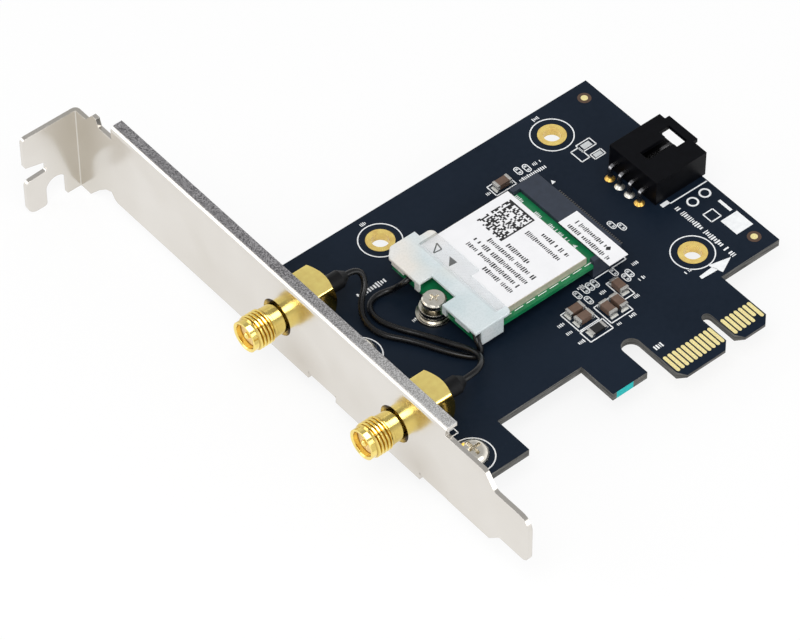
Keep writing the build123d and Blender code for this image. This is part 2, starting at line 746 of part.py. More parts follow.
with BuildPart() as module_receptacles:
    with BuildSketch(Plane.XY.offset(MODULE_TOP)):
        with Locations(*[(PLUG_X, y) for y in PLUG_Y.values()]):
            Circle(RECEPTACLE_R)
    extrude(amount=RECEPTACLE_H)
hand_in(module_receptacles, "module_receptacles")

with BuildPart() as module_standoff:
    with BuildSketch():
        with Locations((MODULE_LEFT, MODULE_Y)):
            Circle(STANDOFF_BASE_R)
    extrude(amount=STANDOFF_BASE_H)
    with BuildSketch():
        with Locations((MODULE_LEFT, MODULE_Y)):
            Circle(STANDOFF_R)
    extrude(amount=STANDOFF_H)
    with BuildSketch():
        with Locations((MODULE_LEFT, MODULE_Y)):
            Circle(MODULE_SCREW_R + TAPPED_CLEAR)
    extrude(amount=STANDOFF_H, mode=Mode.SUBTRACT)
hand_in(module_standoff, "module_standoff")

with BuildPart() as module_screw:
    with BuildSketch(Plane.XY.offset(STANDOFF_H - MODULE_SCREW_IN)):
        with Locations((MODULE_LEFT, MODULE_Y)):
            Circle(MODULE_SCREW_R)
    extrude(amount=MODULE_SCREW_IN + MODULE_T)
    with BuildSketch(Plane.XY.offset(MODULE_TOP)):
        with Locations((MODULE_LEFT, MODULE_Y)):
            Circle(MODULE_SCREW_HEAD_R)
    extrude(amount=MODULE_SCREW_HEAD_H)
    chamfer(module_screw.edges().group_by(Axis.Z)[-1], MODULE_SCREW_HEAD_H / 4)
    with BuildSketch(Plane.XY.offset(MODULE_TOP + MODULE_SCREW_HEAD_H)):
        with Locations((MODULE_LEFT, MODULE_Y)):
            Rectangle(MODULE_CROSS_L, MODULE_CROSS_W)
            Rectangle(MODULE_CROSS_W, MODULE_CROSS_L)
    extrude(amount=-MODULE_CROSS_DEPTH, mode=Mode.SUBTRACT)
hand_in(module_screw, "module_screw")

# Clip: a plate that rests on the label, with a skirt gripping each long side of the module
clip_end = CLIP_HIGH + CLIP_TAB_OUT
clip_notch_end = MODULE_LEFT + MODULE_SCREW_HEAD_R + CLIP_SCREW_CLEAR
clip_outline = [
    (CLIP_LEFT, CLIP_LOW),
    (CLIP_RIGHT_LOW, CLIP_LOW),
    (CLIP_RIGHT_LOW, CLIP_STEP_Y),
    (CLIP_RIGHT_HIGH, CLIP_STEP_Y),
    (CLIP_RIGHT_HIGH, CLIP_HIGH),
    (CLIP_TAB_RIGHT, CLIP_HIGH),
    (CLIP_TAB_RIGHT, clip_end),
    (CLIP_TAB_LEFT, clip_end),
    (CLIP_LEFT, clip_end - CLIP_CORNER_CUT),
    (CLIP_LEFT, CLIP_NOTCH_HIGH),
    (clip_notch_end, CLIP_NOTCH_HIGH),
    (clip_notch_end, CLIP_NOTCH_LOW),
    (CLIP_LEFT, CLIP_NOTCH_LOW),
]
clip_corners = [
    (CLIP_RIGHT_LOW, CLIP_LOW),
    (CLIP_RIGHT_HIGH, CLIP_HIGH),
    (CLIP_TAB_LEFT, clip_end),
    (CLIP_LEFT, clip_end - CLIP_CORNER_CUT),
]
with BuildPart() as antenna_clip:
    with BuildSketch(Plane.XY.offset(LABEL_TOP)):
        Polygon(*clip_outline, align=None)
    extrude(amount=CLIP_T)
    for x, y in clip_corners:
        fillet(antenna_clip.edges().filter_by(Axis.Z).sort_by_distance((x, y, LABEL_TOP))[0], CLIP_CORNER_R)
    fillet(antenna_clip.faces().sort_by(Axis.Z)[-1].outer_wire().edges(), CLIP_ROUND)
    with BuildSketch(Plane.XY.offset(CLIP_SKIRT_LOW)):
        for skirt_low in (MODULE_LOW - CLIP_WALL, MODULE_HIGH):
            Polygon(
                *rectangle_points(CLIP_SKIRT_LEFT, CLIP_SKIRT_RIGHT, skirt_low, skirt_low + CLIP_WALL),
                align=None,
            )
    extrude(amount=LABEL_TOP - CLIP_SKIRT_LOW)
    with BuildSketch(Plane.XY.offset(CLIP_LEG_LOW)):
        for leg_low in (CLIP_NOTCH_LOW - CLIP_LEG_W, CLIP_NOTCH_HIGH):
            Polygon(
                *rectangle_points(CLIP_LEFT, CLIP_LEFT + CLIP_WALL, leg_low, leg_low + CLIP_LEG_W),
                align=None,
            )
    extrude(amount=LABEL_TOP - CLIP_LEG_LOW)
    with BuildSketch(Plane.XY.offset(CLIP_EDGE_LOW)):
        for span in CLIP_EDGE_SPANS:
            Polygon(*rectangle_points(CLIP_LEFT, CLIP_LEFT + CLIP_WALL, *span), align=None)
    extrude(amount=LABEL_TOP - CLIP_EDGE_LOW)
hand_in(antenna_clip, "antenna_clip")

# Socket
socket_low = MODULE_Y - SOCKET_W / 2
socket_high = MODULE_Y + SOCKET_W / 2
with BuildPart() as socket_housing:
    with BuildSketch():
        Polygon(*rectangle_points(SOCKET_LEFT, SOCKET_RIGHT, socket_low, socket_high), align=None)
    extrude(amount=SOCKET_H)
    with BuildSketch(Plane.XY.offset(STANDOFF_H - SOCKET_CLEAR)):
        Polygon(
            *rectangle_points(
                SOCKET_LEFT,
                MODULE_RIGHT + SOCKET_CLEAR,
                MODULE_Y - MODULE_TONGUE_W / 2 - SOCKET_CLEAR,
                MODULE_Y + MODULE_TONGUE_W / 2 + SOCKET_CLEAR,
            ),
            align=None,
        )
    extrude(amount=MODULE_T + 2 * SOCKET_CLEAR, mode=Mode.SUBTRACT)
    with BuildSketch(Plane.XY.offset(STANDOFF_H - SOCKET_CLEAR)):
        Polygon(
            *rectangle_points(
                SOCKET_LEFT,
                SOCKET_FRONT,
                MODULE_Y - MODULE_TONGUE_W / 2 - SOCKET_CLEAR,
                MODULE_Y + MODULE_TONGUE_W / 2 + SOCKET_CLEAR,
            ),
            align=None,
        )
    extrude(amount=SOCKET_H - STANDOFF_H + SOCKET_CLEAR, mode=Mode.SUBTRACT)
hand_in(socket_housing, "socket_housing")

tail_ys = [MODULE_Y + (k - (TAILS - 1) / 2) * MODULE_PAD_PITCH for k in range(TAILS)]
with BuildPart() as socket_contacts:
    with BuildSketch():
        with Locations(*[(SOCKET_RIGHT + TAIL_L / 2, y) for y in tail_ys]):
            Rectangle(TAIL_L, TAIL_W)
    extrude(amount=TAIL_T)
hand_in(socket_contacts, "socket_contacts")

with BuildPart() as socket_label:
    with BuildSketch(Plane.XY.offset(SOCKET_H)):
        Polygon(*rectangle_points(*SOCKET_LABEL_X, *SOCKET_LABEL_Y), align=None)
    extrude(amount=LABEL_T)
hand_in(socket_label, "socket_label")

# Pin header
with BuildPart() as header_housing:
    with BuildSketch():
        Polygon(*rectangle_points(HEADER_LEFT, HEADER_RIGHT, HEADER_LOW, HEADER_HIGH), align=None)
    extrude(amount=HEADER_H)
    with BuildSketch(Plane.XY.offset(HEADER_H - HEADER_ROOF)):
        Polygon(*rectangle_points(HEADER_RIGHT, HEADER_RIGHT + LIP_OUT, *LIP_Y), align=None)
    extrude(amount=HEADER_ROOF)
    with BuildSketch(Plane.XY.offset(HEADER_FLOOR)):
        Polygon(
            *rectangle_points(
                HEADER_LEFT + HEADER_BACK,
                HEADER_RIGHT,
                HEADER_LOW + HEADER_WALL,
                HEADER_HIGH - HEADER_WALL,
            ),
            align=None,
        )
    extrude(amount=HEADER_H - HEADER_ROOF - HEADER_FLOOR, mode=Mode.SUBTRACT)
    with BuildSketch(Plane.XY.offset(HEADER_H - HEADER_ROOF)):
        Polygon(*rectangle_points(*KEYWAY_X, *KEYWAY_Y), align=None)
        Polygon(*rectangle_points(KEYWAY_WIDE_X, KEYWAY_X[1], *KEYWAY_WIDE_Y), align=None)
    extrude(amount=HEADER_ROOF, mode=Mode.SUBTRACT)
    with BuildSketch(Plane.YZ.offset(HEADER_LEFT)):
        with Locations(*[(y, PIN_Z) for y in pin_ys]):
            Rectangle(PIN_W, PIN_W)
    extrude(amount=HEADER_BACK, mode=Mode.SUBTRACT)
hand_in(header_housing, "header_housing")

pin_low = BOARD_BACK - PIN_BELOW
with BuildPart() as header_pins:
    for pin_y in pin_ys:
        with BuildSketch(Plane.XZ.offset(-pin_y - PIN_W / 2)):
            with BuildLine():
                FilletPolyline(
                    (PIN_BEND_X, pin_low),
                    (PIN_BEND_X, PIN_Z),
                    (PIN_TIP_X, PIN_Z),
                    radius=PIN_W,
                )
            trace(line_width=PIN_W)
        extrude(amount=PIN_W)
hand_in(header_pins, "header_pins")

with BuildPart() as header_solder:
    with Locations(*[(PIN_BEND_X, y, SOLDER_H / 2) for y in pin_ys]):
        Cone(SOLDER_R, SOLDER_TOP_R, SOLDER_H)
    with Locations(*[(PIN_BEND_X, y, BOARD_BACK - SOLDER_H / 2) for y in pin_ys]):
        Cone(SOLDER_TOP_R, SOLDER_R, SOLDER_H)
    with Locations(*[(PIN_BEND_X, y, 0) for y in pin_ys]):
        Box(PIN_W, PIN_W, 2 * (BOARD_T + SOLDER_H), mode=Mode.SUBTRACT)
hand_in(header_solder, "header_solder")

# Chip capacitors and the resistor, all standing on soldered pads
end_shift = (CHIP_L - CHIP_END) / 2
pad_shift = end_shift + PAD_OUT / 2
with BuildPart() as solder_pads:
    with BuildSketch():
        for x, y, angle in CAPACITORS + RESISTORS:
            with Locations(Location((x, y), angle)):
                with Locations((-pad_shift, 0), (pad_shift, 0)):
                    Rectangle(CHIP_END + PAD_OUT, CHIP_W)
    extrude(amount=COPPER_T)
hand_in(solder_pads, "solder_pads")

for kind, places, height in (("capacitor", CAPACITORS, CAPACITOR_H), ("resistor", RESISTORS, RESISTOR_H)):
    with BuildPart() as bodies:
        with BuildSketch(Plane.XY.offset(COPPER_T + CHIP_INSET)):
            for x, y, angle in places:
                with Locations(Location((x, y), angle)):
                    Rectangle(CHIP_L - 2 * CHIP_END, CHIP_W - 2 * CHIP_INSET)
        extrude(amount=height - 2 * CHIP_INSET)
    hand_in(bodies, f"{kind}_bodies")

    with BuildPart() as terminals:
        with BuildSketch(Plane.XY.offset(COPPER_T)):
            for x, y, angle in places:
                with Locations(Location((x, y), angle)):
                    with Locations((-end_shift, 0), (end_shift, 0)):
                        Rectangle(CHIP_END, CHIP_W)
        extrude(amount=height)
    hand_in(terminals, f"{kind}_terminals")
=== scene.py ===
"""Looks of the wireless network card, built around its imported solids.

Lengths are written in millimetres, in the frame of the solids, and turned into metres where a mesh is made.
Colours are display values from 0 to 255.  The size of a noise is its number of features in a metre.
"""

import json
import math
import random

import bpy
from mathutils import Color, Matrix, Vector


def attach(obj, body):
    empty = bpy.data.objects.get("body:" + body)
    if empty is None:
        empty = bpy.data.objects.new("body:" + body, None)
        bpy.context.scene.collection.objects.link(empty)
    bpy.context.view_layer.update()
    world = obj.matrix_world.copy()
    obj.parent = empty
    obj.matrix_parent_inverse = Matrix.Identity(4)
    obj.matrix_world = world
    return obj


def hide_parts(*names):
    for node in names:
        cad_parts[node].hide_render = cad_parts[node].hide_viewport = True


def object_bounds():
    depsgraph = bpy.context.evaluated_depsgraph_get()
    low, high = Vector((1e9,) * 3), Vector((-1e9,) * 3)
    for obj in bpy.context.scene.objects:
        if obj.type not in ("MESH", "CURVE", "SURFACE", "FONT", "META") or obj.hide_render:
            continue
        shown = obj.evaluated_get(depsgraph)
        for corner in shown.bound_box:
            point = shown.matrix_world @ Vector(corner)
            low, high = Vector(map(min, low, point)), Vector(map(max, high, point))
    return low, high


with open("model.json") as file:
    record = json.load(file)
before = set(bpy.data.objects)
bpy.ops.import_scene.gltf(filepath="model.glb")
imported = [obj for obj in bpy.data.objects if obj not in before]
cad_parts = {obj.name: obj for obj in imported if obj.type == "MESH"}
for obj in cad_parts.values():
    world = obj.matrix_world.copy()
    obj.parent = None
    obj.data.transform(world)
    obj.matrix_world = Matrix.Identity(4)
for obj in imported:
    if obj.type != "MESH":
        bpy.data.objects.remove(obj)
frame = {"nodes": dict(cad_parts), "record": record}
cad_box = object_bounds()

MM = 0.001
BODY = "root"
DISPLAY_WHITE = 255

# Camera fitted to the photograph
CAMERA_PLACE = (-368.33, -357.68, 576.41)
CAMERA_RIGHT = (0.76782, -0.64065, -0.00448)
CAMERA_UP = (0.47973, 0.57029, 0.66680)
CAMERA_BACK = (-0.42464, -0.51413, 0.74522)
CAMERA_LENS = 206.75
SENSOR_W = 36.0
CAMERA_NEAR = 10.0
CAMERA_FAR = 20000.0

# Antenna cables: the same routes as the solids
CABLE_R = 0.565
CABLE_LIE = 0.6
SLEEVE_END = -43.5
CABLE_START = -40.8
JACK_Y = {"upper": 49.95, "lower": 19.35}
JACK_Z = 5.4
PLUG_X = -31.0
PLUG_Y = {"upper": 30.2, "lower": 44.0}
PLUG_HEADING = {"upper": 220.0, "lower": 190.0}
PLUG_REACH = 1.7
PLUG_CABLE_Z = 4.18
CABLE_END = 2.0
CABLE_ROUTES = {
    "upper": [
        (-40.8, 47.75, 3.5),
        (-43.4, 46.2, 1.9),
        (-45.3, 43.2, 0.8),
        (-44.9, 39.0, CABLE_LIE),
        (-41.7, 34.7, CABLE_LIE),
        (-38.7, 28.7, CABLE_LIE),
        (-36.9, 26.0, CABLE_LIE),
        (-35.7, 24.75, 0.7),
        (-35.2, 24.3, 2.3),
        (-35.2, 25.7, 4.0),
    ],
    "lower": [
        (-38.3, 20.6, 4.7),
        (-36.6, 23.2, 3.3),
        (-36.5, 26.4, 2.0),
        (-37.4, 30.0, 0.9),
        (-39.3, 34.2, CABLE_LIE),
        (-41.9, 38.4, CABLE_LIE),
        (-43.3, 42.4, CABLE_LIE),
        (-42.4, 45.4, CABLE_LIE),
        (-39.8, 46.5, CABLE_LIE),
        (-37.4, 45.6, 0.9),
        (-36.5, 44.6, 2.1),
        (-36.35, 43.5, 3.5),
    ],
}
CABLE_ROUNDNESS = 6
CABLE_ORDER = 3
CABLE_STEPS = 10

# Antenna jacks: the sizes of the solids, with a thread cut into the barrel
JACK_FRONT = -65.31
FACE_IN = -57.4
THREAD_R = 3.175
THREAD_L = 5.0
THREAD_LEAD = 1.0
THREAD_END = 4.5
INCH = 25.4
THREADS_PER_INCH = 36
THREAD_PITCH = INCH / THREADS_PER_INCH
THREAD_DEPTH = 0.42
THREAD_STEPS = 14
THREAD_FADE = 0.4
RIDGE_RISE = 1.9
RIDGE_SLOPE = 4.0
NOSE_R = 2.88
NECK_R = 2.82
BLOCK_HALF = 3.6
BLOCK_REAR = -48.2
BLOCK_REAR_R = 3.55
BLOCK_TURN = math.radians(30.0)
BLOCK_CORNER = 0.12
BORE_R = 2.3
BORE_DEPTH = 6.0
RIM_CHAMFER = 0.2
STUB_R = 1.25
STUB_L = 1.8
TURN_COUNT = 96
JACK_SMOOTH = 28.0
JACK_PITCH = JACK_Y["upper"] - JACK_Y["lower"]
JACK_MIDDLE = (JACK_Y["upper"] + JACK_Y["lower"]) / 2

# Bracket finish: a bright face with painted shade in fields below the jacks, and a grained flange painted
# lighter at its low end and darker towards its top, along Y
FACE_COLORS = ((219, 214, 206), (228, 224, 218))
FACE_CLOUD = 60.0
FACE_ROUGH = 0.2
FACE_SHADE_COLOR = (186, 176, 162)
FACE_SHADE_SHARE = 0.5
FACE_SHADE_DROP = 6.2
FACE_SHADE_R = 8.0
# Painted reflection: a darker tone where the face and the top tab mirror each other
CORNER_REFLECTION_COLOR = (178, 170, 148)
CORNER_REFLECTION_SHARE = 0.2
CORNER_X = (-66.0, -60.0)
CORNER_Y = (95.0, 102.0)
FLANGE_TOP = 15.4
FLANGE_EDGE = 0.1
# Flange tones: painted light at its low end, painted shade towards its top
FLANGE_PAINTED_LIT = ((196, 194, 192), (255, 255, 254))
FLANGE_PAINTED_SHADE = ((98, 96, 99), (206, 204, 206))
FLANGE_SHADE_SPAN = (6.5, 50.0)
FLANGE_GRAIN = 5500.0
GRAIN_RANGE = (0.4, 0.58)
FLANGE_ROUGH = 0.36

# Carrier board finish: dark mask on the faces, grey laminate on the cut edges, a teal patch on the tab
MASK_COLORS = ((15, 26, 39), (23, 34, 48))
MASK_CLOUD = 45.0
MASK_ROUGH = (0.34, 0.46)
MASK_SPECULAR = 0.11
WEAVE_COLOR = (26, 36, 50)
WEAVE_SIZE = 900.0
WEAVE_SHARE = 0.35
CUT_COLORS = ((54, 54, 52), (112, 111, 108))
CUT_LAYERS = 4200.0
CUT_STRETCH = (0.06, 0.06, 1.0)
CUT_TILT = 0.55
TEAL_COLOR = (28, 176, 176)
TEAL_X = (-22.6, -18.9)
TEAL_TOP = 4.7

# Gold of the jacks: painted shade in the thread and on the block's sides, and painted shadow in the open
# part of the bracket's hole
THREAD_SHADE_COLOR = (176, 134, 48)
BLOCK_SIDE_SHADE_COLOR = (232, 190, 84)
BLOCK_TOP_METAL = 0.55
BLOCK_TOP_TILT = 0.5
GAP_SHADOW_COLOR = (40, 22, 12)
GAP_DEPTH = 0.5
GAP_BEHIND = 0.1
GAP_SIDE = (0.814, 0.581, 0.0)
GAP_SHADOW_SPAN = (0.7, 0.95)

# Finishes that change along a piece
HEADER_Y = 38.04
PIN_PITCH = 2.54
OUTER_LEG_COLOR = (236, 190, 96)
# Standoff: painted dark bands of shade at a fixed pitch up its side
STANDOFF_BAND_PITCH = 0.75
STANDOFF_BAND_SHARE = 0.45
STANDOFF_SHADE_COLOR = (58, 54, 48)
CLIP_COLORS = ((206, 221, 224), (232, 238, 240))
CLIP_CLOUD = 160.0
CLIP_WARM_COLOR = (250, 238, 224)
CLIP_WARM_SIZE = 130.0
CLIP_WARM_SHARE = 0.6
CLIP_WARM_RANGE = (0.45, 0.6)
CLIP_WARM_Y = 40.0
CLIP_WARM_SOFT = 8.0
CLIP_ROUGH = (0.22, 0.34)
CLIP_ROUGH_SIZE = 2500.0
CLIP_COVER = 0.9
CLIP_COVER_ON_LABEL = 0.16
LABEL_LEFT = -29.5
LABEL_Y = (27.25, 47.5)
LABEL_SOFT = 0.8

# Softness of a change of finish, over lengths and over tilts
SHARP = 0.1
SOFT = 0.2
TILT_SOFT = 0.4

# Print: thickness, line width, and the ticks that stand for small letters, as shares of a row's height
PRINT_T = 0.02
SILK_W = 0.22
TICK_W = (0.14, 0.3)
TICK_H = (0.55, 1.0)
TICK_GAP = 0.2
WORD_GAP = 0.7
WORD_SHARE = 0.14
ROUND_STEPS = 72
CAP_STEPS = 12

# White print on the carrier board: circles round the holes and screws
HOLES = [(-30.75, 56.2), (8.2, 56.2), (8.2, 19.7)]
HOLE_RING_R = 3.88
SCREWS = [(-49.9, 9.4), (-49.9, 38.3)]
SCREW_RING_R = 3.8

# Boxes round parts, by two corners
BOXES = [
    ((-18.5, 18.6), (-14.05, 23.4)),
    ((-13.1, 16.5), (-8.3, 21.1)),
    ((-7.9, 19.1), (-5.6, 23.8)),
    ((-18.6, 15.55), (-13.6, 18.3)),
    ((-8.7, 51.3), (-4.2, 53.95)),
    ((9.6, 49.6), (12.7, 51.5)),
    ((10.1, 46.9), (12.5, 48.3)),
    ((7.9, 47.9), (9.7, 50.9)),
    ((15.5, 22.9), (17.7, 25.1)),
    ((-50.8, 14.7), (-48.5, 15.9)),
]

# Rounded footprints of small parts, each with two bare pads
FOOTPRINTS = [
    (-13.3, 25.0),
    (-11.5, 25.1),
    (-10.4, 25.1),
    (-9.3, 25.1),
    (-12.6, 22.9),
    (-5.1, 25.0),
    (-4.3, 22.7),
    (-3.2, 23.1),
    (1.9, 33.4),
    (3.0, 32.0),
    (-2.0, 53.4),
    (-0.4, 53.0),
]
FOOTPRINT_L = 1.9
FOOTPRINT_W = 0.95
FOOTPRINT_LINE = 0.8 * SILK_W
FOOTPRINT_PAD = (0.5, 0.45)
FOOTPRINT_PAD_OUT = 0.45
LARGE_PADS = [((11.15, 50.5), (1.9, 1.2)), ((11.3, 47.6), (1.7, 0.9))]

# Short rows of ticks beside parts
MARKS = [
    (-20.6, 21.6),
    (-20.6, 19.4),
    (-20.4, 16.6),
    (-12.6, 15.6),
    (-9.8, 15.6),
    (-6.4, 18.4),
    (-38.4, 38.4),
    (-31.2, 61.0),
    (7.9, 61.0),
    (-12.4, 26.0),
    (-10.2, 22.7),
    (-3.0, 20.9),
    (-1.6, 24.2),
    (-9.9, 52.6),
    (4.0, 17.0),
]
MARK_L = 1.2
MARK_H = 0.8
MARK_SEED = 60

# Longer rows of ticks: ends, height and seed
BOARD_ROWS = [
    ((13.1, 29.3), (13.15, 14.5), 1.15, 3),
    ((-3.4, 51.4), (2.2, 51.2), 0.9, 4),
    ((0.9, 52.9), (2.5, 52.8), 0.9, 7),
    ((-11.4, 7.6), (-9.0, 7.6), 1.1, 5),
    ((-41.9, 48.6), (-36.0, 48.6), 1.3, 6),
]

# Plain shapes on the carrier board: blocks by centre and size, rings, an arrow, a pointer and lines
BLOCKS = [((18.7, 20.0), (3.8, 4.1)), ((19.9, 24.3), (0.6, 3.1)), ((12.2, 31.2), (1.7, 0.85))]
RINGS = [(19.2, 28.7), (16.2, 28.5)]
RING_R = 0.95
RING_LINE = 0.35
ARROW_SHAFT = [(5.3, 14.2), (8.9, 14.0), (8.5, 15.1), (5.35, 14.9)]
ARROW_HEAD = [(9.1, 13.05), (12.5, 14.75), (8.2, 15.8)]
SOCKET_POINTER = [(0.4, 47.2), (1.3, 47.3), (0.9, 48.1)]
SOCKET_CORNER = [(-8.6, 25.9), (-1.5, 25.9), (-1.5, 26.9)]
HEADER_LINE = [(13.0, 30.7), (21.4, 30.6)]
HEADER_LINE_W = 1.2 * SILK_W

# Bare laminate round the fiducial dots
FIDUCIALS = [(18.5, 59.35), (18.75, 15.7)]
WINDOW_R = 0.95
WINDOW_LINE = 0.6

# White print on the module's green board, beside the socket and in front of the shield can
STRIP_X = -8.3
STRIP_ROWS = [(46.9, 45.1), (41.8, 40.4), (38.2, 34.6), (34.0, 33.2)]
STRIP_H = 0.8
STRIP_SEED = 80
STRIP_POINTER = [(-8.7, 31.2), (-7.9, 31.2), (-8.3, 32.0)]
DASHES = 8
DASH_START = (-27.4, 26.9)
DASH_PITCH = 2.6
DASH_SIZE = (1.9, 0.14)

# Dark print on the white labels: a field of seeded dots, pointers, and rows of ticks in place of words
DOT_CELLS = 22
DOT_X = (-18.1, -10.5)
DOT_Y = (39.3, 45.7)
DOT_SEED = 11
DOT_SHARE = 0.5
LABEL_POINTER = [(-28.6, 40.6), (-26.9, 40.4), (-27.0, 42.3)]
LABEL_OPEN_POINTER = [(-28.6, 44.6), (-27.0, 44.4), (-26.7, 46.0)]
LABEL_LINE = 0.25
LABEL_ROWS = [
    ((-24.3, 36.6), (-24.3, 29.3)),
    ((-22.7, 42.7), (-22.7, 29.6)),
    ((-21.1, 42.7), (-21.1, 29.4)),
    ((-19.4, 41.0), (-19.4, 29.5)),
    ((-17.8, 38.0), (-17.8, 31.9)),
    ((-13.4, 38.1), (-13.4, 29.3)),
    ((-11.7, 36.0), (-11.7, 29.6)),
]
LABEL_ROW_H = 1.05
LABEL_SEED = 20
STICKER_ROWS = [((-4.9, 34.9), (-4.9, 27.6)), ((-6.5, 35.2), (-6.5, 25.2))]
STICKER_ROW_H = 1.0
STICKER_SEED = 40
STICKER_DIAMOND = [(-4.9, 26.3), (-4.3, 26.8), (-4.9, 27.3), (-5.5, 26.8)]

# Stage: white floor that keeps the shadow, white surroundings, soft lamps
FLOOR_HALF = 3000.0
FLOOR_WHITE = (0.96, 0.96, 0.96, 1.0)
FLOOR_ROUGH = 0.9
FLOOR_GLOW = 0.85
LIGHT_WHITE = (1.0, 1.0, 1.0, 1.0)
WALL_LEVEL = 1.0
WALL_TOP = 0.2
CEILING_LEVEL = 0.45
CEILING_START = 0.75
LAMP_TARGET = (-20.0, 40.0, 0.0)

# Lamps: name, place, size, power, and whether the lamp is only for glints on the jacks
LAMPS = [
    ("key", (-260.0, -120.0, 520.0), 320.0, 1.4, False),
    ("fill", (120.0, -480.0, 300.0), 360.0, 0.7, False),
    ("rim", (-470.0, 350.0, 260.0), 320.0, 0.5, False),
    ("glint", (162.0, 9.0, 510.0), 360.0, 2.4, True),
]


def metres(point):
    """A point in millimetres as a vector in metres."""
    return Vector(point) * MM


def top_of(name):
    """Highest level of a solid, in millimetres."""
    node = frame["nodes"][name]
    return max((node.matrix_world @ vertex.co).z for vertex in node.data.vertices) / MM


def linear(color, share=1.0):
    """A display colour as the linear values that a shader takes, made darker or lighter by a share."""
    levels = Color([value / DISPLAY_WHITE for value in color]).from_srgb_to_scene_linear()
    return (*[min(1.0, level * share) for level in levels], 1.0)


def feed(node, sources):
    """Links sockets, or sets values, on the inputs of a shader node."""
    for socket, source in sources.items():
        if isinstance(source, bpy.types.NodeSocket):
            node.id_data.links.new(source, node.inputs[socket])
        else:
            node.inputs[socket].default_value = source


def add_node(tree, kind, sources=None, **settings):
    """A shader node with its settings and what feeds it."""
    node = tree.nodes.new(kind)
    for key, value in settings.items():
        setattr(node, key, value)
    feed(node, sources or {})
    return node


def calc(tree, operation, *terms):
    """The result of one sum on numbers or sockets."""
    return add_node(tree, "ShaderNodeMath", dict(enumerate(terms)), operation=operation).outputs[0]


def product(tree, first, *others):
    """Numbers or sockets multiplied together."""
    for other in others:
        first = calc(tree, "MULTIPLY", first, other)
    return first


def flat_vector(tree, across, up):
    """A vector from two sockets."""
    return add_node(tree, "ShaderNodeCombineXYZ", {"X": across, "Y": up}).outputs["Vector"]


def vector_calc(tree, operation, *terms):
    """A number worked out from vectors."""
    sources = dict(enumerate(terms))
    return add_node(tree, "ShaderNodeVectorMath", sources, operation=operation).outputs["Value"]


def shade(name):
    """A new node material with its tree and main shader."""
    material = bpy.data.materials.new(name)
    material.use_nodes = True
    tree = material.node_tree
    return material, tree, tree.nodes["Principled BSDF"]


def place(tree, stretch=(1.0, 1.0, 1.0)):
    """Coordinates on the object itself, in metres, stretched along chosen axes."""
    coords = add_node(tree, "ShaderNodeTexCoord").outputs["Object"]
    return add_node(tree, "ShaderNodeMapping", {"Vector": coords, "Scale": stretch}).outputs["Vector"]


def axis_parts(tree):
    """Position on the object in millimetres, split into its three directions."""
    coords = add_node(tree, "ShaderNodeTexCoord").outputs["Object"]
    sources = {"Vector": coords, "Scale": 1 / MM}
    long = add_node(tree, "ShaderNodeVectorMath", sources, operation="SCALE").outputs["Vector"]
    return add_node(tree, "ShaderNodeSeparateXYZ", {"Vector": long}).outputs


def upward(tree):
    """Height of the surface normal: one on a level face, nought on an upright one."""
    normal = add_node(tree, "ShaderNodeNewGeometry").outputs["Normal"]
    return add_node(tree, "ShaderNodeSeparateXYZ", {"Vector": normal}).outputs["Z"]


def noise(tree, where, size, detail=3.0):
    """Noise with a given number of features in a metre."""
    sources = {"Vector": where, "Scale": size, "Detail": detail}
    return add_node(tree, "ShaderNodeTexNoise", sources).outputs["Fac"]


def spread(tree, source, low=0.0, high=1.0, start=0.3, end=0.7):
    """A number that goes from low to high while a source goes from start to end."""
    sources = {"Value": source, "From Min": start, "From Max": end, "To Min": low, "To Max": high}
    return add_node(tree, "ShaderNodeMapRange", sources).outputs["Result"]


def above(tree, source, level, soft):
    """One above a level, nought below, with a soft change between."""
    return spread(tree, source, start=level - soft / 2, end=level + soft / 2)


def below(tree, source, level, soft):
    """One below a level, nought above, with a soft change between."""
    return above(tree, source, level, -soft)


def between(tree, source, low, high, soft):
    """One between two levels, nought outside, with a soft change at each."""
    return product(tree, above(tree, source, low, soft), below(tree, source, high, soft))


def blend(tree, factor, first, second):
    """A colour between two colours, each a socket or linear values."""
    node = add_node(tree, "ShaderNodeMix", data_type="RGBA")
    inputs = {socket.name: index for index, socket in enumerate(node.inputs) if socket.enabled}
    feed(node, {inputs["Factor"]: factor, inputs["A"]: first, inputs["B"]: second})
    return next(socket for socket in node.outputs if socket.enabled)


def pair(tree, factor, colors):
    """A colour between two display colours."""
    return blend(tree, factor, linear(colors[0]), linear(colors[1]))


def relief(tree, height, strength, depth, edge=0.0):
    """A bumped normal, with edges softened by a small radius."""
    sources = {"Height": height, "Strength": strength, "Distance": depth * MM}
    if edge:
        sources["Normal"] = add_node(tree, "ShaderNodeBevel", {"Radius": edge * MM}).outputs["Normal"]
    return add_node(tree, "ShaderNodeBump", sources).outputs["Normal"]


def surface(name, color, rough, metal=0.0, specular=0.5, vary=0.12, patch=500.0, grain=6000.0, depth=0.01,
            rough_vary=0.06, edge=0.0):
    """A finish with patchy colour, uneven gloss, a fine grain and softened edges."""
    material, tree, shader = shade(name)
    where = place(tree)
    patches = spread(tree, noise(tree, where, patch))
    fine = noise(tree, where, grain)
    feed(shader, {
        "Base Color": blend(tree, patches, linear(color, 1 - vary), linear(color, 1 + vary)),
        "Roughness": spread(tree, fine, rough - rough_vary, rough + rough_vary),
        "Normal": relief(tree, fine, strength=0.5, depth=depth, edge=edge),
        "Metallic": metal,
        "Specular IOR Level": specular,
    })
    return material


def tint(material, factor, color):
    """Blends a display colour over what a finish shows already."""
    tree = material.node_tree
    base = tree.nodes["Principled BSDF"].inputs["Base Color"]
    tree.links.new(blend(tree, factor, base.links[0].from_socket, linear(color)), base)


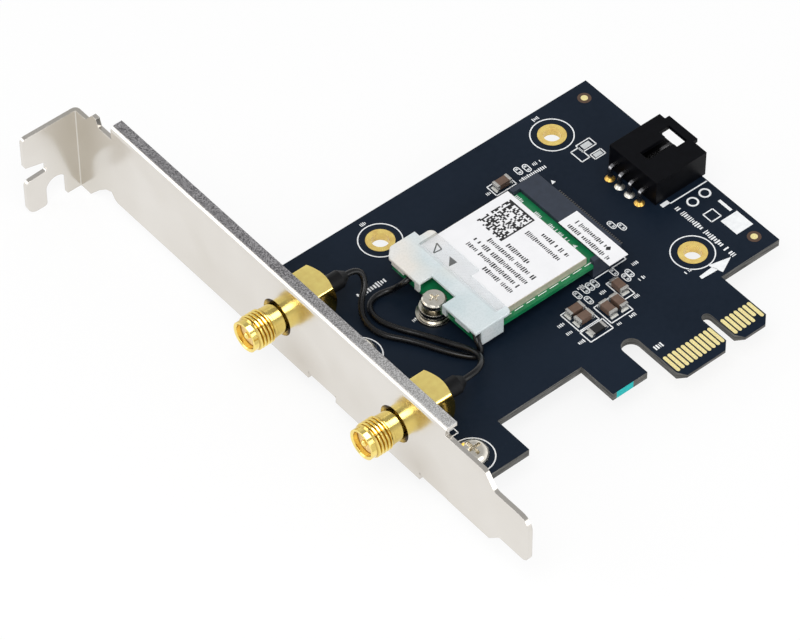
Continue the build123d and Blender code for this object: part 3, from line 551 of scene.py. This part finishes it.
def bracket_face(tree, where, x, y, z):
    """Colour of the bracket's face: cloudy, with painted shade in fields below the jacks and a painted
    darker reflection in the upper corner by the top tab.
    """
    face = pair(tree, spread(tree, noise(tree, where, FACE_CLOUD, detail=2.0)), FACE_COLORS)
    # Painted shade: the face is darkened in a field below each jack.
    across = calc(tree, "SUBTRACT", y, JACK_MIDDLE - FACE_SHADE_DROP)
    across = calc(tree, "SUBTRACT", calc(tree, "ABSOLUTE", across), JACK_PITCH / 2)
    reach = vector_calc(tree, "LENGTH", flat_vector(tree, across, z))
    field = spread(tree, reach, FACE_SHADE_SHARE, 0.0, start=0.0, end=FACE_SHADE_R)
    face = blend(tree, field, face, linear(FACE_SHADE_COLOR))
    # Painted reflection: the upper corner by the top tab is darkened where face and tab mirror each other.
    up = spread(tree, y, start=CORNER_Y[0], end=CORNER_Y[1])
    inward = spread(tree, x, 0.0, CORNER_REFLECTION_SHARE, start=CORNER_X[0], end=CORNER_X[1])
    return blend(tree, product(tree, up, inward), face, linear(CORNER_REFLECTION_COLOR))


def bracket_finish():
    """Nickel-plated steel: polished on the face; grained and darker on the folded flange, with painted light
    and shade from its low end to its top.
    """
    material, tree, shader = shade("bracket_nickel")
    where = place(tree)
    x, y, z = axis_parts(tree)
    flange = above(tree, z, FLANGE_TOP, FLANGE_EDGE)
    sparkle = noise(tree, where, FLANGE_GRAIN, detail=5.0)
    grain = spread(tree, sparkle, start=GRAIN_RANGE[0], end=GRAIN_RANGE[1])
    # Painted light and shade: the flange is lit at its low end and shaded towards its top, along Y.
    painted_shading = spread(tree, y, start=FLANGE_SHADE_SPAN[0], end=FLANGE_SHADE_SPAN[1])
    fold = blend(tree, painted_shading, pair(tree, grain, FLANGE_PAINTED_LIT), pair(tree, grain, FLANGE_PAINTED_SHADE))
    feed(shader, {
        "Base Color": blend(tree, flange, bracket_face(tree, where, x, y, z), fold),
        "Roughness": spread(tree, flange, FACE_ROUGH, FLANGE_ROUGH, start=0.0, end=1.0),
        "Normal": relief(tree, product(tree, sparkle, flange), strength=0.8, depth=0.04, edge=0.12),
        "Metallic": 1.0,
    })
    return material


def board_finish():
    """Dark solder mask over copper, with bare grey laminate on the cut edges."""
    material, tree, shader = shade("board_mask")
    where = place(tree)
    x, y, _ = axis_parts(tree)
    weave = noise(tree, where, WEAVE_SIZE, detail=4.0)
    mask = pair(tree, spread(tree, noise(tree, where, MASK_CLOUD, detail=2.0)), MASK_COLORS)
    mask = blend(tree, spread(tree, weave, 0.0, WEAVE_SHARE), mask, linear(WEAVE_COLOR))
    layers = noise(tree, place(tree, CUT_STRETCH), CUT_LAYERS, detail=2.0)
    cut = pair(tree, spread(tree, layers), CUT_COLORS)
    patch = product(tree, between(tree, x, *TEAL_X, SOFT), below(tree, y, TEAL_TOP, SOFT))
    cut = blend(tree, patch, cut, linear(TEAL_COLOR))
    level = above(tree, calc(tree, "ABSOLUTE", upward(tree)), CUT_TILT, SOFT)
    feed(shader, {
        "Base Color": blend(tree, level, cut, mask),
        "Roughness": spread(tree, weave, *MASK_ROUGH),
        "Normal": relief(tree, weave, strength=0.25, depth=0.02),
        "Specular IOR Level": MASK_SPECULAR,
    })
    return material


def jack_offset(tree, y, z):
    """Vector from the axis of the nearer jack, as seen along X."""
    across = calc(tree, "ADD", y, JACK_PITCH / 2 - JACK_Y["lower"])
    across = calc(tree, "FLOORED_MODULO", across, JACK_PITCH)
    across = calc(tree, "SUBTRACT", across, JACK_PITCH / 2)
    return flat_vector(tree, across, calc(tree, "SUBTRACT", z, JACK_Z))


def jack_finish():
    """Gold plating, with painted shade in the thread and on the block's sides and painted shadow in the open
    part of the hole.
    """
    material = surface("jack_gold", (253, 226, 134), rough=0.13, metal=1.0, vary=0.08, patch=900.0,
                       grain=7000.0, depth=0.004, rough_vary=0.04, edge=0.06)
    tree = material.node_tree
    x, y, z = axis_parts(tree)
    offset = jack_offset(tree, y, z)
    radius = vector_calc(tree, "LENGTH", offset)
    # Painted shade: the gold is darker down in the thread's grooves.
    groove_shade = spread(tree, radius, 1.0, 0.0, start=THREAD_R - THREAD_DEPTH, end=THREAD_R)
    threaded = between(tree, x, JACK_FRONT + THREAD_LEAD, JACK_FRONT + THREAD_END, SOFT)
    tint(material, product(tree, groove_shade, threaded), THREAD_SHADE_COLOR)
    # Painted light and shade on the block: its top is less metallic so it shows lit, and its sides are
    # painted darker.
    behind = above(tree, x, FACE_IN, SHARP)
    top = product(tree, above(tree, upward(tree), BLOCK_TOP_TILT, TILT_SOFT), behind)
    metal = spread(tree, top, 1.0, BLOCK_TOP_METAL, start=0.0, end=1.0)
    feed(tree.nodes["Principled BSDF"], {"Metallic": metal})
    tint(material, calc(tree, "SUBTRACT", behind, top), BLOCK_SIDE_SHADE_COLOR)
    # Painted shadow in the gap between the bracket's hole and the neck, darkest at the two sides along
    # GAP_SIDE.
    gap = between(tree, x, FACE_IN - GAP_DEPTH, FACE_IN + GAP_BEHIND, SHARP)
    sideways = calc(tree, "DIVIDE", vector_calc(tree, "DOT_PRODUCT", offset, GAP_SIDE), radius)
    shadowed_side = spread(tree, calc(tree, "ABSOLUTE", sideways), start=GAP_SHADOW_SPAN[0], end=GAP_SHADOW_SPAN[1])
    tint(material, product(tree, gap, shadowed_side), GAP_SHADOW_COLOR)
    return material


def solder_finish():
    """Solder on the header's legs: gold shows on the two outer legs."""
    material = surface("header_solder", (222, 219, 210), rough=0.3, metal=0.8, patch=2600.0, grain=7000.0,
                       depth=0.03, rough_vary=0.08)
    tree = material.node_tree
    off = calc(tree, "ABSOLUTE", calc(tree, "SUBTRACT", axis_parts(tree)["Y"], HEADER_Y))
    tint(material, above(tree, off, PIN_PITCH, SOFT), OUTER_LEG_COLOR)
    return material


def standoff_finish():
    """Nickel with painted dark bands of shade round the standoff."""
    material = surface("standoff_nickel", (236, 231, 220), rough=0.2, metal=1.0, vary=0.08, patch=1400.0,
                       grain=8000.0, rough_vary=0.07, edge=0.08)
    tree = material.node_tree
    # Painted shade: dark bands at a fixed pitch up the standoff.
    turns = calc(tree, "DIVIDE", axis_parts(tree)["Z"], STANDOFF_BAND_PITCH)
    tint(material, above(tree, calc(tree, "FRACT", turns), STANDOFF_BAND_SHARE, SOFT), STANDOFF_SHADE_COLOR)
    return material


def clip_finish():
    """Milky moulding with cool and warm patches, clearer where it lies flat on the label."""
    material, tree, shader = shade("clip_milky")
    where = place(tree)
    x, y, _ = axis_parts(tree)
    cloud = noise(tree, where, CLIP_CLOUD, detail=2.0)
    milk = pair(tree, spread(tree, cloud), CLIP_COLORS)
    warm = noise(tree, where, CLIP_WARM_SIZE, detail=1.0)
    warm = spread(tree, warm, 0.0, CLIP_WARM_SHARE, start=CLIP_WARM_RANGE[0], end=CLIP_WARM_RANGE[1])
    warm = product(tree, warm, above(tree, y, CLIP_WARM_Y, CLIP_WARM_SOFT))
    on_label = product(tree, above(tree, x, LABEL_LEFT, LABEL_SOFT), between(tree, y, *LABEL_Y, SOFT))
    feed(shader, {
        "Base Color": blend(tree, warm, milk, linear(CLIP_WARM_COLOR)),
        "Roughness": spread(tree, noise(tree, where, CLIP_ROUGH_SIZE), *CLIP_ROUGH),
        "Normal": relief(tree, cloud, strength=0.2, depth=0.1, edge=0.2),
        "Alpha": spread(tree, on_label, CLIP_COVER, CLIP_COVER_ON_LABEL, start=0.0, end=1.0),
    })
    return material


# One finish for each material slot of the record
finishes = {
    "bracket_steel": bracket_finish(),
    "board_laminate": board_finish(),
    "gold_plate": surface("contact_gold", (255, 236, 168), rough=0.26, metal=0.25, vary=0.06, patch=1500.0,
                          grain=9000.0, depth=0.004, rough_vary=0.05),
    "jack_gold": jack_finish(),
    "screw_steel": surface("screw_nickel", (238, 233, 222), rough=0.18, metal=1.0, vary=0.08, patch=1400.0,
                           grain=8000.0, rough_vary=0.07, edge=0.1),
    "insulator": surface("jack_insulator", (244, 214, 160), rough=0.4, vary=0.06),
    "sleeve_black": surface("sleeve_black", (11, 12, 15), rough=0.5, specular=0.2, vary=0.2, patch=900.0,
                            grain=4000.0, depth=0.03),
    "cable_black": surface("cable_black", (9, 10, 13), rough=0.26, specular=0.4, vary=0.15, patch=900.0,
                           grain=5000.0, depth=0.006),
    "plug_metal": surface("plug_metal", (222, 196, 140), rough=0.3, metal=1.0, vary=0.08, patch=2000.0),
    "module_green": surface("module_green", (18, 122, 74), rough=0.34, vary=0.14, patch=700.0, grain=3000.0),
    "shield_metal": surface("shield_tin", (206, 198, 180), rough=0.45, metal=0.5, vary=0.08, patch=700.0,
                            grain=5000.0, edge=0.12),
    "label_white": surface("label_film", (243, 243, 245), rough=0.5, vary=0.02, patch=300.0, grain=4000.0,
                           depth=0.004),
    "clip_clear": clip_finish(),
    "socket_dark": surface("socket_dark", (42, 50, 64), rough=0.5, patch=900.0, grain=5000.0, depth=0.012,
                           edge=0.1),
    "tin": surface("tin", (226, 224, 219), rough=0.3, metal=1.0, vary=0.1, patch=2200.0, grain=9000.0,
                   depth=0.012, rough_vary=0.08, edge=0.08),
    "header_black": surface("header_black", (9, 10, 14), rough=0.4, specular=0.07, vary=0.2, patch=700.0,
                            grain=4200.0, depth=0.012, edge=0.14),
    "capacitor_brown": surface("capacitor_brown", (106, 84, 71), rough=0.46, patch=1800.0, grain=7000.0,
                               depth=0.012, edge=0.1),
    "resistor_black": surface("resistor_black", (28, 28, 30), rough=0.35, vary=0.15, patch=1800.0),
    "solder": surface("solder", (226, 227, 224), rough=0.32, metal=0.4, patch=2600.0, grain=7000.0,
                      depth=0.03, rough_vary=0.08),
}

# Pieces whose finish differs from others of their slot
own_finishes = {
    "module_standoff": standoff_finish(),
    "header_solder": solder_finish(),
    # Tin painted darker on the header's legs, as painted shade and dark reflection under the housing.
    "header_pins": surface("pin_tin_shaded", (150, 150, 152), rough=0.24, metal=1.0, patch=2200.0, grain=9000.0,
                           depth=0.012, rough_vary=0.08, edge=0.08),
    "socket_contacts": surface("contact_tin", (120, 118, 116), rough=0.4, metal=1.0, vary=0.15, patch=2200.0,
                               grain=9000.0, depth=0.012, rough_vary=0.08),
    "hole_platings": surface("ring_gold", (255, 216, 124), rough=0.24, metal=0.4, vary=0.14, patch=900.0,
                             grain=9000.0, depth=0.004, rough_vary=0.05),
}

# Print and bare areas
silk_white = surface("silk_white", (246, 248, 250), rough=0.55, vary=0.06, patch=900.0, grain=3500.0,
                     depth=0.004, rough_vary=0.05)
ink_black = surface("ink_black", (26, 26, 28), rough=0.55, vary=0.1, patch=900.0, grain=3500.0, depth=0.003,
                    rough_vary=0.05)
bare_brown = surface("bare_laminate", (84, 62, 48), rough=0.45, vary=0.1, patch=900.0, grain=3500.0,
                     depth=0.004, rough_vary=0.05)
pad_tin = surface("pad_tin", (222, 226, 228), rough=0.4, metal=0.3, vary=0.08, patch=1800.0, grain=7000.0)

slot_of = {part["node"]: part["material_slot"] for part in frame["record"]["subparts"]}
for node_name, node in frame["nodes"].items():
    node.data.materials.clear()
    node.data.materials.append(own_finishes.get(node_name, finishes[slot_of[node_name]]))


def keep(obj):
    """Puts a piece in the scene, on the one body."""
    bpy.context.scene.collection.objects.link(obj)
    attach(obj, BODY)
    return obj


def mesh_piece(name, points, faces, material, smooth=None):
    """A mesh from points in millimetres; smooth is the angle up to which its faces blend."""
    mesh = bpy.data.meshes.new(name)
    mesh.from_pydata([metres(p) for p in points], [], faces)
    mesh.validate()
    mesh.materials.append(material)
    if smooth:
        mesh.polygons.foreach_set("use_smooth", [True] * len(mesh.polygons))
        mesh.set_sharp_from_angle(angle=math.radians(smooth))
    mesh.update()
    return keep(bpy.data.objects.new(name, mesh))


def cable(side):
    """One antenna cable as a smooth curve through its route."""
    name = f"antenna_cable_{side}"
    jack_y = JACK_Y[side]
    heading = math.radians(PLUG_HEADING[side])
    route = [(SLEEVE_END, jack_y, JACK_Z), (CABLE_START, jack_y, JACK_Z)] + CABLE_ROUTES[side]
    for reach in (PLUG_REACH + CABLE_END, PLUG_REACH):
        along_y = PLUG_Y[side] + reach * math.sin(heading)
        route.append((PLUG_X + reach * math.cos(heading), along_y, PLUG_CABLE_Z))
    curve = bpy.data.curves.new(name, "CURVE")
    curve.dimensions = "3D"
    curve.bevel_depth = CABLE_R * MM
    curve.bevel_resolution = CABLE_ROUNDNESS
    curve.use_fill_caps = True
    spline = curve.splines.new("NURBS")
    spline.points.add(len(route) - 1)
    for control, point in zip(spline.points, route):
        control.co = (*metres(point), 1.0)
    spline.order_u = CABLE_ORDER
    spline.use_endpoint_u = True
    spline.resolution_u = CABLE_STEPS
    curve.materials.append(finishes["cable_black"])
    obj = keep(bpy.data.objects.new(f"{name}_jacket", curve))
    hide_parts(name)


def thread_radius(along, turn):
    """Radius of the cut thread at a distance from the jack's front and a share of a turn."""
    phase = (along / THREAD_PITCH - turn) % 1.0
    ridge = min(1.0, max(0.0, RIDGE_RISE - RIDGE_SLOPE * abs(phase - 0.5)))
    fade = min(1.0, max(0.0, min(along - THREAD_LEAD, THREAD_END - along) / THREAD_FADE))
    cut = THREAD_R - THREAD_DEPTH * (1 - ridge)
    return NOSE_R + (cut - NOSE_R) * fade


def jack_rings(turns):
    """Rings of a jack from its bore to its rear stub, each a place along X and a radius for every turn."""
    block = []
    for turn in turns:
        angle = turn * math.tau
        reach = BLOCK_HALF / max(abs(math.cos(angle)), abs(math.sin(angle)))
        block.append(min(reach, BLOCK_HALF * math.sqrt(2) - BLOCK_CORNER))
    rings = [
        [(JACK_FRONT + BORE_DEPTH, BORE_R)] * TURN_COUNT,
        [(JACK_FRONT + RIM_CHAMFER, BORE_R)] * TURN_COUNT,
        [(JACK_FRONT, BORE_R + RIM_CHAMFER)] * TURN_COUNT,
        [(JACK_FRONT, NOSE_R - RIM_CHAMFER)] * TURN_COUNT,
    ]
    steps = round(THREAD_L / THREAD_PITCH * THREAD_STEPS)
    for k in range(1, steps):
        along = THREAD_L * k / steps
        rings.append([(JACK_FRONT + along, thread_radius(along, turn)) for turn in turns])
    return rings + [
        [(JACK_FRONT + THREAD_L, NECK_R)] * TURN_COUNT,
        [(FACE_IN, NECK_R)] * TURN_COUNT,
        [(FACE_IN, reach) for reach in block],
        [(BLOCK_REAR - max(0.0, r - BLOCK_REAR_R) * math.tan(BLOCK_TURN), r) for r in block],
        [(BLOCK_REAR, BLOCK_REAR_R)] * TURN_COUNT,
        [(BLOCK_REAR, STUB_R)] * TURN_COUNT,
        [(BLOCK_REAR + STUB_L, STUB_R)] * TURN_COUNT,
    ]


def jack(side):
    """A threaded antenna jack, swept ring by ring."""
    turns = [k / TURN_COUNT for k in range(TURN_COUNT)]
    rings = jack_rings(turns)
    points = []
    for ring in rings:
        for turn, (x, r) in zip(turns, ring):
            angle = turn * math.tau
            points.append((x, JACK_Y[side] + r * math.cos(angle), JACK_Z + r * math.sin(angle)))
    faces = []
    for k in range(len(rings) - 1):
        for j in range(TURN_COUNT):
            near = k * TURN_COUNT + j
            beside = k * TURN_COUNT + (j + 1) % TURN_COUNT
            faces.append((near, beside, beside + TURN_COUNT, near + TURN_COUNT))
    faces.append(tuple(reversed(range(TURN_COUNT))))
    faces.append(tuple(range((len(rings) - 1) * TURN_COUNT, len(rings) * TURN_COUNT)))
    name = f"sma_body_{side}_threaded"
    obj = mesh_piece(name, points, faces, finishes["jack_gold"], JACK_SMOOTH)
    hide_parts(f"sma_body_{side}")
    return obj


jacks = bpy.data.collections.new("jacks")
for jack_side in JACK_Y:
    cable(jack_side)
    jacks.objects.link(jack(jack_side))


class Print:
    """Thin flat shapes printed on one solid's top, gathered into one mesh."""

    def __init__(self, carrier):
        self.level = top_of(carrier)
        self.points = []
        self.faces = []

    def shape(self, outline):
        """A filled outline, anticlockwise."""
        start = len(self.points)
        count = len(outline)
        for height in (self.level, self.level + PRINT_T):
            self.points.extend((x, y, height) for x, y in outline)
        self.faces.append(tuple(start + count + k for k in range(count)))
        self.faces.append(tuple(start + k for k in reversed(range(count))))
        for k in range(count):
            after = (k + 1) % count
            self.faces.append((start + k, start + after, start + count + after, start + count + k))

    def bar(self, first, last, width):
        """A straight stroke."""
        a = Vector(first)
        b = Vector(last)
        side = (b - a).orthogonal().normalized() * width / 2
        self.shape([tuple(p) for p in (a - side, b - side, b + side, a + side)][::-1])

    def box(self, centre, size):
        """A filled upright rectangle."""
        x, y = centre
        w, h = size[0] / 2, size[1] / 2
        self.shape([(x - w, y - h), (x + w, y - h), (x + w, y + h), (x - w, y + h)])

    def line(self, points, width):
        """Strokes from point to point."""
        for a, b in zip(points, points[1:]):
            self.bar(a, b, width)

    def outline(self, corners, width):
        """A closed line along the corners."""
        self.line(corners + corners[:1], width)

    def arc(self, centre, radius, width, start=0.0, end=360.0, steps=ROUND_STEPS):
        """A round line."""
        for k in range(steps):
            edge = []
            for share, r in ((k, -1), (k, 1), (k + 1, 1), (k + 1, -1)):
                angle = math.radians(start + (end - start) * share / steps)
                reach = radius + r * width / 2
                edge.append((centre[0] + reach * math.cos(angle), centre[1] + reach * math.sin(angle)))
            self.shape(edge)

    def capsule(self, centre, length, width, line):
        """The rounded outline of a small part, along Y."""
        x, y = centre
        r = width / 2
        straight = length / 2 - r
        for side in (-1, 1):
            self.bar((x + side * r, y - straight), (x + side * r, y + straight), line)
        self.arc((x, y + straight), r, line, 0.0, 180.0, CAP_STEPS)
        self.arc((x, y - straight), r, line, 180.0, 360.0, CAP_STEPS)

    def row(self, first, last, height, seed):
        """A row of plain upright ticks where the photograph has small print."""
        draw = random.Random(seed)
        a = Vector(first)
        step = Vector(last) - a
        length = step.length
        step.normalize()
        up = step.orthogonal() * height / 2
        at = 0.0
        while at < length:
            width = draw.uniform(*TICK_W) * height
            middle = a + step * (at + width / 2)
            tall = draw.uniform(*TICK_H)
            self.bar(middle - up * tall, middle + up * tall, width)
            gap = WORD_GAP if draw.random() < WORD_SHARE else TICK_GAP
            at += width + gap * height

    def piece(self, name, material):
        """The finished mesh."""
        return mesh_piece(name, self.points, self.faces, material)


def board_print():
    """White print on the carrier board."""
    silk = Print("main_board")
    for hole in HOLES:
        silk.arc(hole, HOLE_RING_R, SILK_W)
    for screw in SCREWS:
        silk.arc(screw, SCREW_RING_R, SILK_W)
    for (x0, y0), (x1, y1) in BOXES:
        silk.outline([(x0, y0), (x1, y0), (x1, y1), (x0, y1)], SILK_W)
    for spot in FOOTPRINTS:
        silk.capsule(spot, FOOTPRINT_L, FOOTPRINT_W, FOOTPRINT_LINE)
    for centre, size in BLOCKS:
        silk.box(centre, size)
    for spot in RINGS:
        silk.arc(spot, RING_R, RING_LINE)
    for filled in (ARROW_SHAFT, ARROW_HEAD, SOCKET_POINTER):
        silk.shape(filled)
    silk.line(HEADER_LINE, HEADER_LINE_W)
    silk.line(SOCKET_CORNER, SILK_W)
    for k, (x, y) in enumerate(MARKS):
        silk.row((x, y), (x + MARK_L, y), MARK_H, MARK_SEED + k)
    for first, last, height, seed in BOARD_ROWS:
        silk.row(first, last, height, seed)
    silk.piece("board_print", silk_white)


def bare_pads():
    """Tinned pads that hold no part."""
    pads = Print("main_board")
    for x, y in FOOTPRINTS:
        for side in (-1, 1):
            pads.box((x, y + side * FOOTPRINT_PAD_OUT), FOOTPRINT_PAD)
    for centre, size in LARGE_PADS:
        pads.box(centre, size)
    pads.piece("bare_pads", pad_tin)


def fiducial_windows():
    """Openings in the mask round the fiducial dots."""
    windows = Print("main_board")
    for spot in FIDUCIALS:
        windows.arc(spot, WINDOW_R, WINDOW_LINE)
    windows.piece("fiducial_windows", bare_brown)


def module_print():
    """White print on the module's green board."""
    strip = Print("module_board")
    for k, (high, low) in enumerate(STRIP_ROWS):
        strip.row((STRIP_X, high), (STRIP_X, low), STRIP_H, STRIP_SEED + k)
    strip.shape(STRIP_POINTER)
    for k in range(DASHES):
        strip.box((DASH_START[0] + DASH_PITCH * k, DASH_START[1]), DASH_SIZE)
    strip.piece("module_print", silk_white)


def label_dots():
    """A field of dots with two solid edges, and a filled pointer, on the module's label."""
    dots = Print("module_label")
    cell = ((DOT_X[1] - DOT_X[0]) / DOT_CELLS, (DOT_Y[1] - DOT_Y[0]) / DOT_CELLS)
    draw = random.Random(DOT_SEED)
    for i in range(DOT_CELLS):
        for j in range(DOT_CELLS):
            on_edge = j == 0 or i == DOT_CELLS - 1
            if on_edge or draw.random() < DOT_SHARE:
                dots.box((DOT_X[0] + (i + 0.5) * cell[0], DOT_Y[0] + (j + 0.5) * cell[1]), cell)
    dots.shape(LABEL_POINTER)
    dots.piece("label_dots", ink_black)


def label_rows():
    """Rows of ticks and an open pointer on the module's label."""
    rows = Print("module_label")
    for k, (first, last) in enumerate(LABEL_ROWS):
        rows.row(first, last, LABEL_ROW_H, LABEL_SEED + k)
    rows.outline(LABEL_OPEN_POINTER, LABEL_LINE)
    rows.piece("label_rows", ink_black)


def sticker_rows():
    """Rows of ticks and a diamond on the socket's label."""
    sticker = Print("socket_label")
    for k, (first, last) in enumerate(STICKER_ROWS):
        sticker.row(first, last, STICKER_ROW_H, STICKER_SEED + k)
    sticker.shape(STICKER_DIAMOND)
    sticker.piece("sticker_rows", ink_black)


board_print()
bare_pads()
fiducial_windows()
module_print()
label_dots()
label_rows()
sticker_rows()


def floor_finish():
    """White paint that glows a little where it is seen, directly or mirrored, so that it stays white."""
    material, tree, shader = shade("floor")
    feed(shader, {"Base Color": FLOOR_WHITE, "Roughness": FLOOR_ROUGH, "Specular IOR Level": 0.0})
    path = add_node(tree, "ShaderNodeLightPath").outputs
    seen = calc(tree, "MAXIMUM", path["Is Camera Ray"], path["Is Glossy Ray"])
    seen = calc(tree, "MAXIMUM", seen, path["Is Transmission Ray"])
    glow = add_node(tree, "ShaderNodeEmission", {"Color": LIGHT_WHITE, "Strength": 1.0}).outputs["Emission"]
    sources = {0: product(tree, seen, FLOOR_GLOW), 1: shader.outputs["BSDF"], 2: glow}
    mixed = add_node(tree, "ShaderNodeMixShader", sources).outputs["Shader"]
    feed(tree.nodes["Material Output"], {"Surface": mixed})
    return material


floor_level = cad_box[0][2] / MM
floor_mesh = bpy.data.meshes.new("floor")
floor_corners = [(-1, -1), (1, -1), (1, 1), (-1, 1)]
floor_points = [metres((x * FLOOR_HALF, y * FLOOR_HALF, floor_level)) for x, y in floor_corners]
floor_mesh.from_pydata(floor_points, [], [(0, 1, 2, 3)])
floor_mesh.materials.append(floor_finish())
floor = bpy.data.objects.new("floor", floor_mesh)
bpy.context.scene.collection.objects.link(floor)

# Surroundings: white walls that darken to the ceiling
world = bpy.data.worlds.new("studio")
bpy.context.scene.world = world
world.use_nodes = True
sky = world.node_tree
direction = add_node(sky, "ShaderNodeTexCoord").outputs["Generated"]
climb = add_node(sky, "ShaderNodeSeparateXYZ", {"Vector": direction}).outputs["Z"]
sky_level = spread(sky, climb, WALL_LEVEL, CEILING_LEVEL, start=WALL_TOP, end=CEILING_START)
feed(sky.nodes["Background"], {"Color": LIGHT_WHITE, "Strength": sky_level})

for lamp_name, spot, size, power, only_jacks in LAMPS:
    lamp = bpy.data.lights.new(lamp_name, "AREA")
    lamp.energy = power
    lamp.size = size * MM
    lamp_obj = bpy.data.objects.new(lamp_name, lamp)
    lamp_obj.location = metres(spot)
    lamp_obj.rotation_euler = (Vector(LAMP_TARGET) - Vector(spot)).to_track_quat("-Z", "Y").to_euler()
    if only_jacks:
        lamp_obj.visible_diffuse = False
        lamp_obj.light_linking.receiver_collection = jacks
    bpy.context.scene.collection.objects.link(lamp_obj)

camera = bpy.data.cameras.new("camera")
camera.lens = CAMERA_LENS
camera.sensor_width = SENSOR_W
camera.sensor_fit = "HORIZONTAL"
camera.clip_start = CAMERA_NEAR * MM
camera.clip_end = CAMERA_FAR * MM
camera_obj = bpy.data.objects.new("camera", camera)
facing = Matrix((CAMERA_RIGHT, CAMERA_UP, CAMERA_BACK)).transposed().to_4x4()
camera_obj.matrix_world = Matrix.Translation(metres(CAMERA_PLACE)) @ facing
bpy.context.scene.collection.objects.link(camera_obj)
bpy.context.scene.camera = camera_obj
bpy.context.scene.view_settings.view_transform = "Standard"
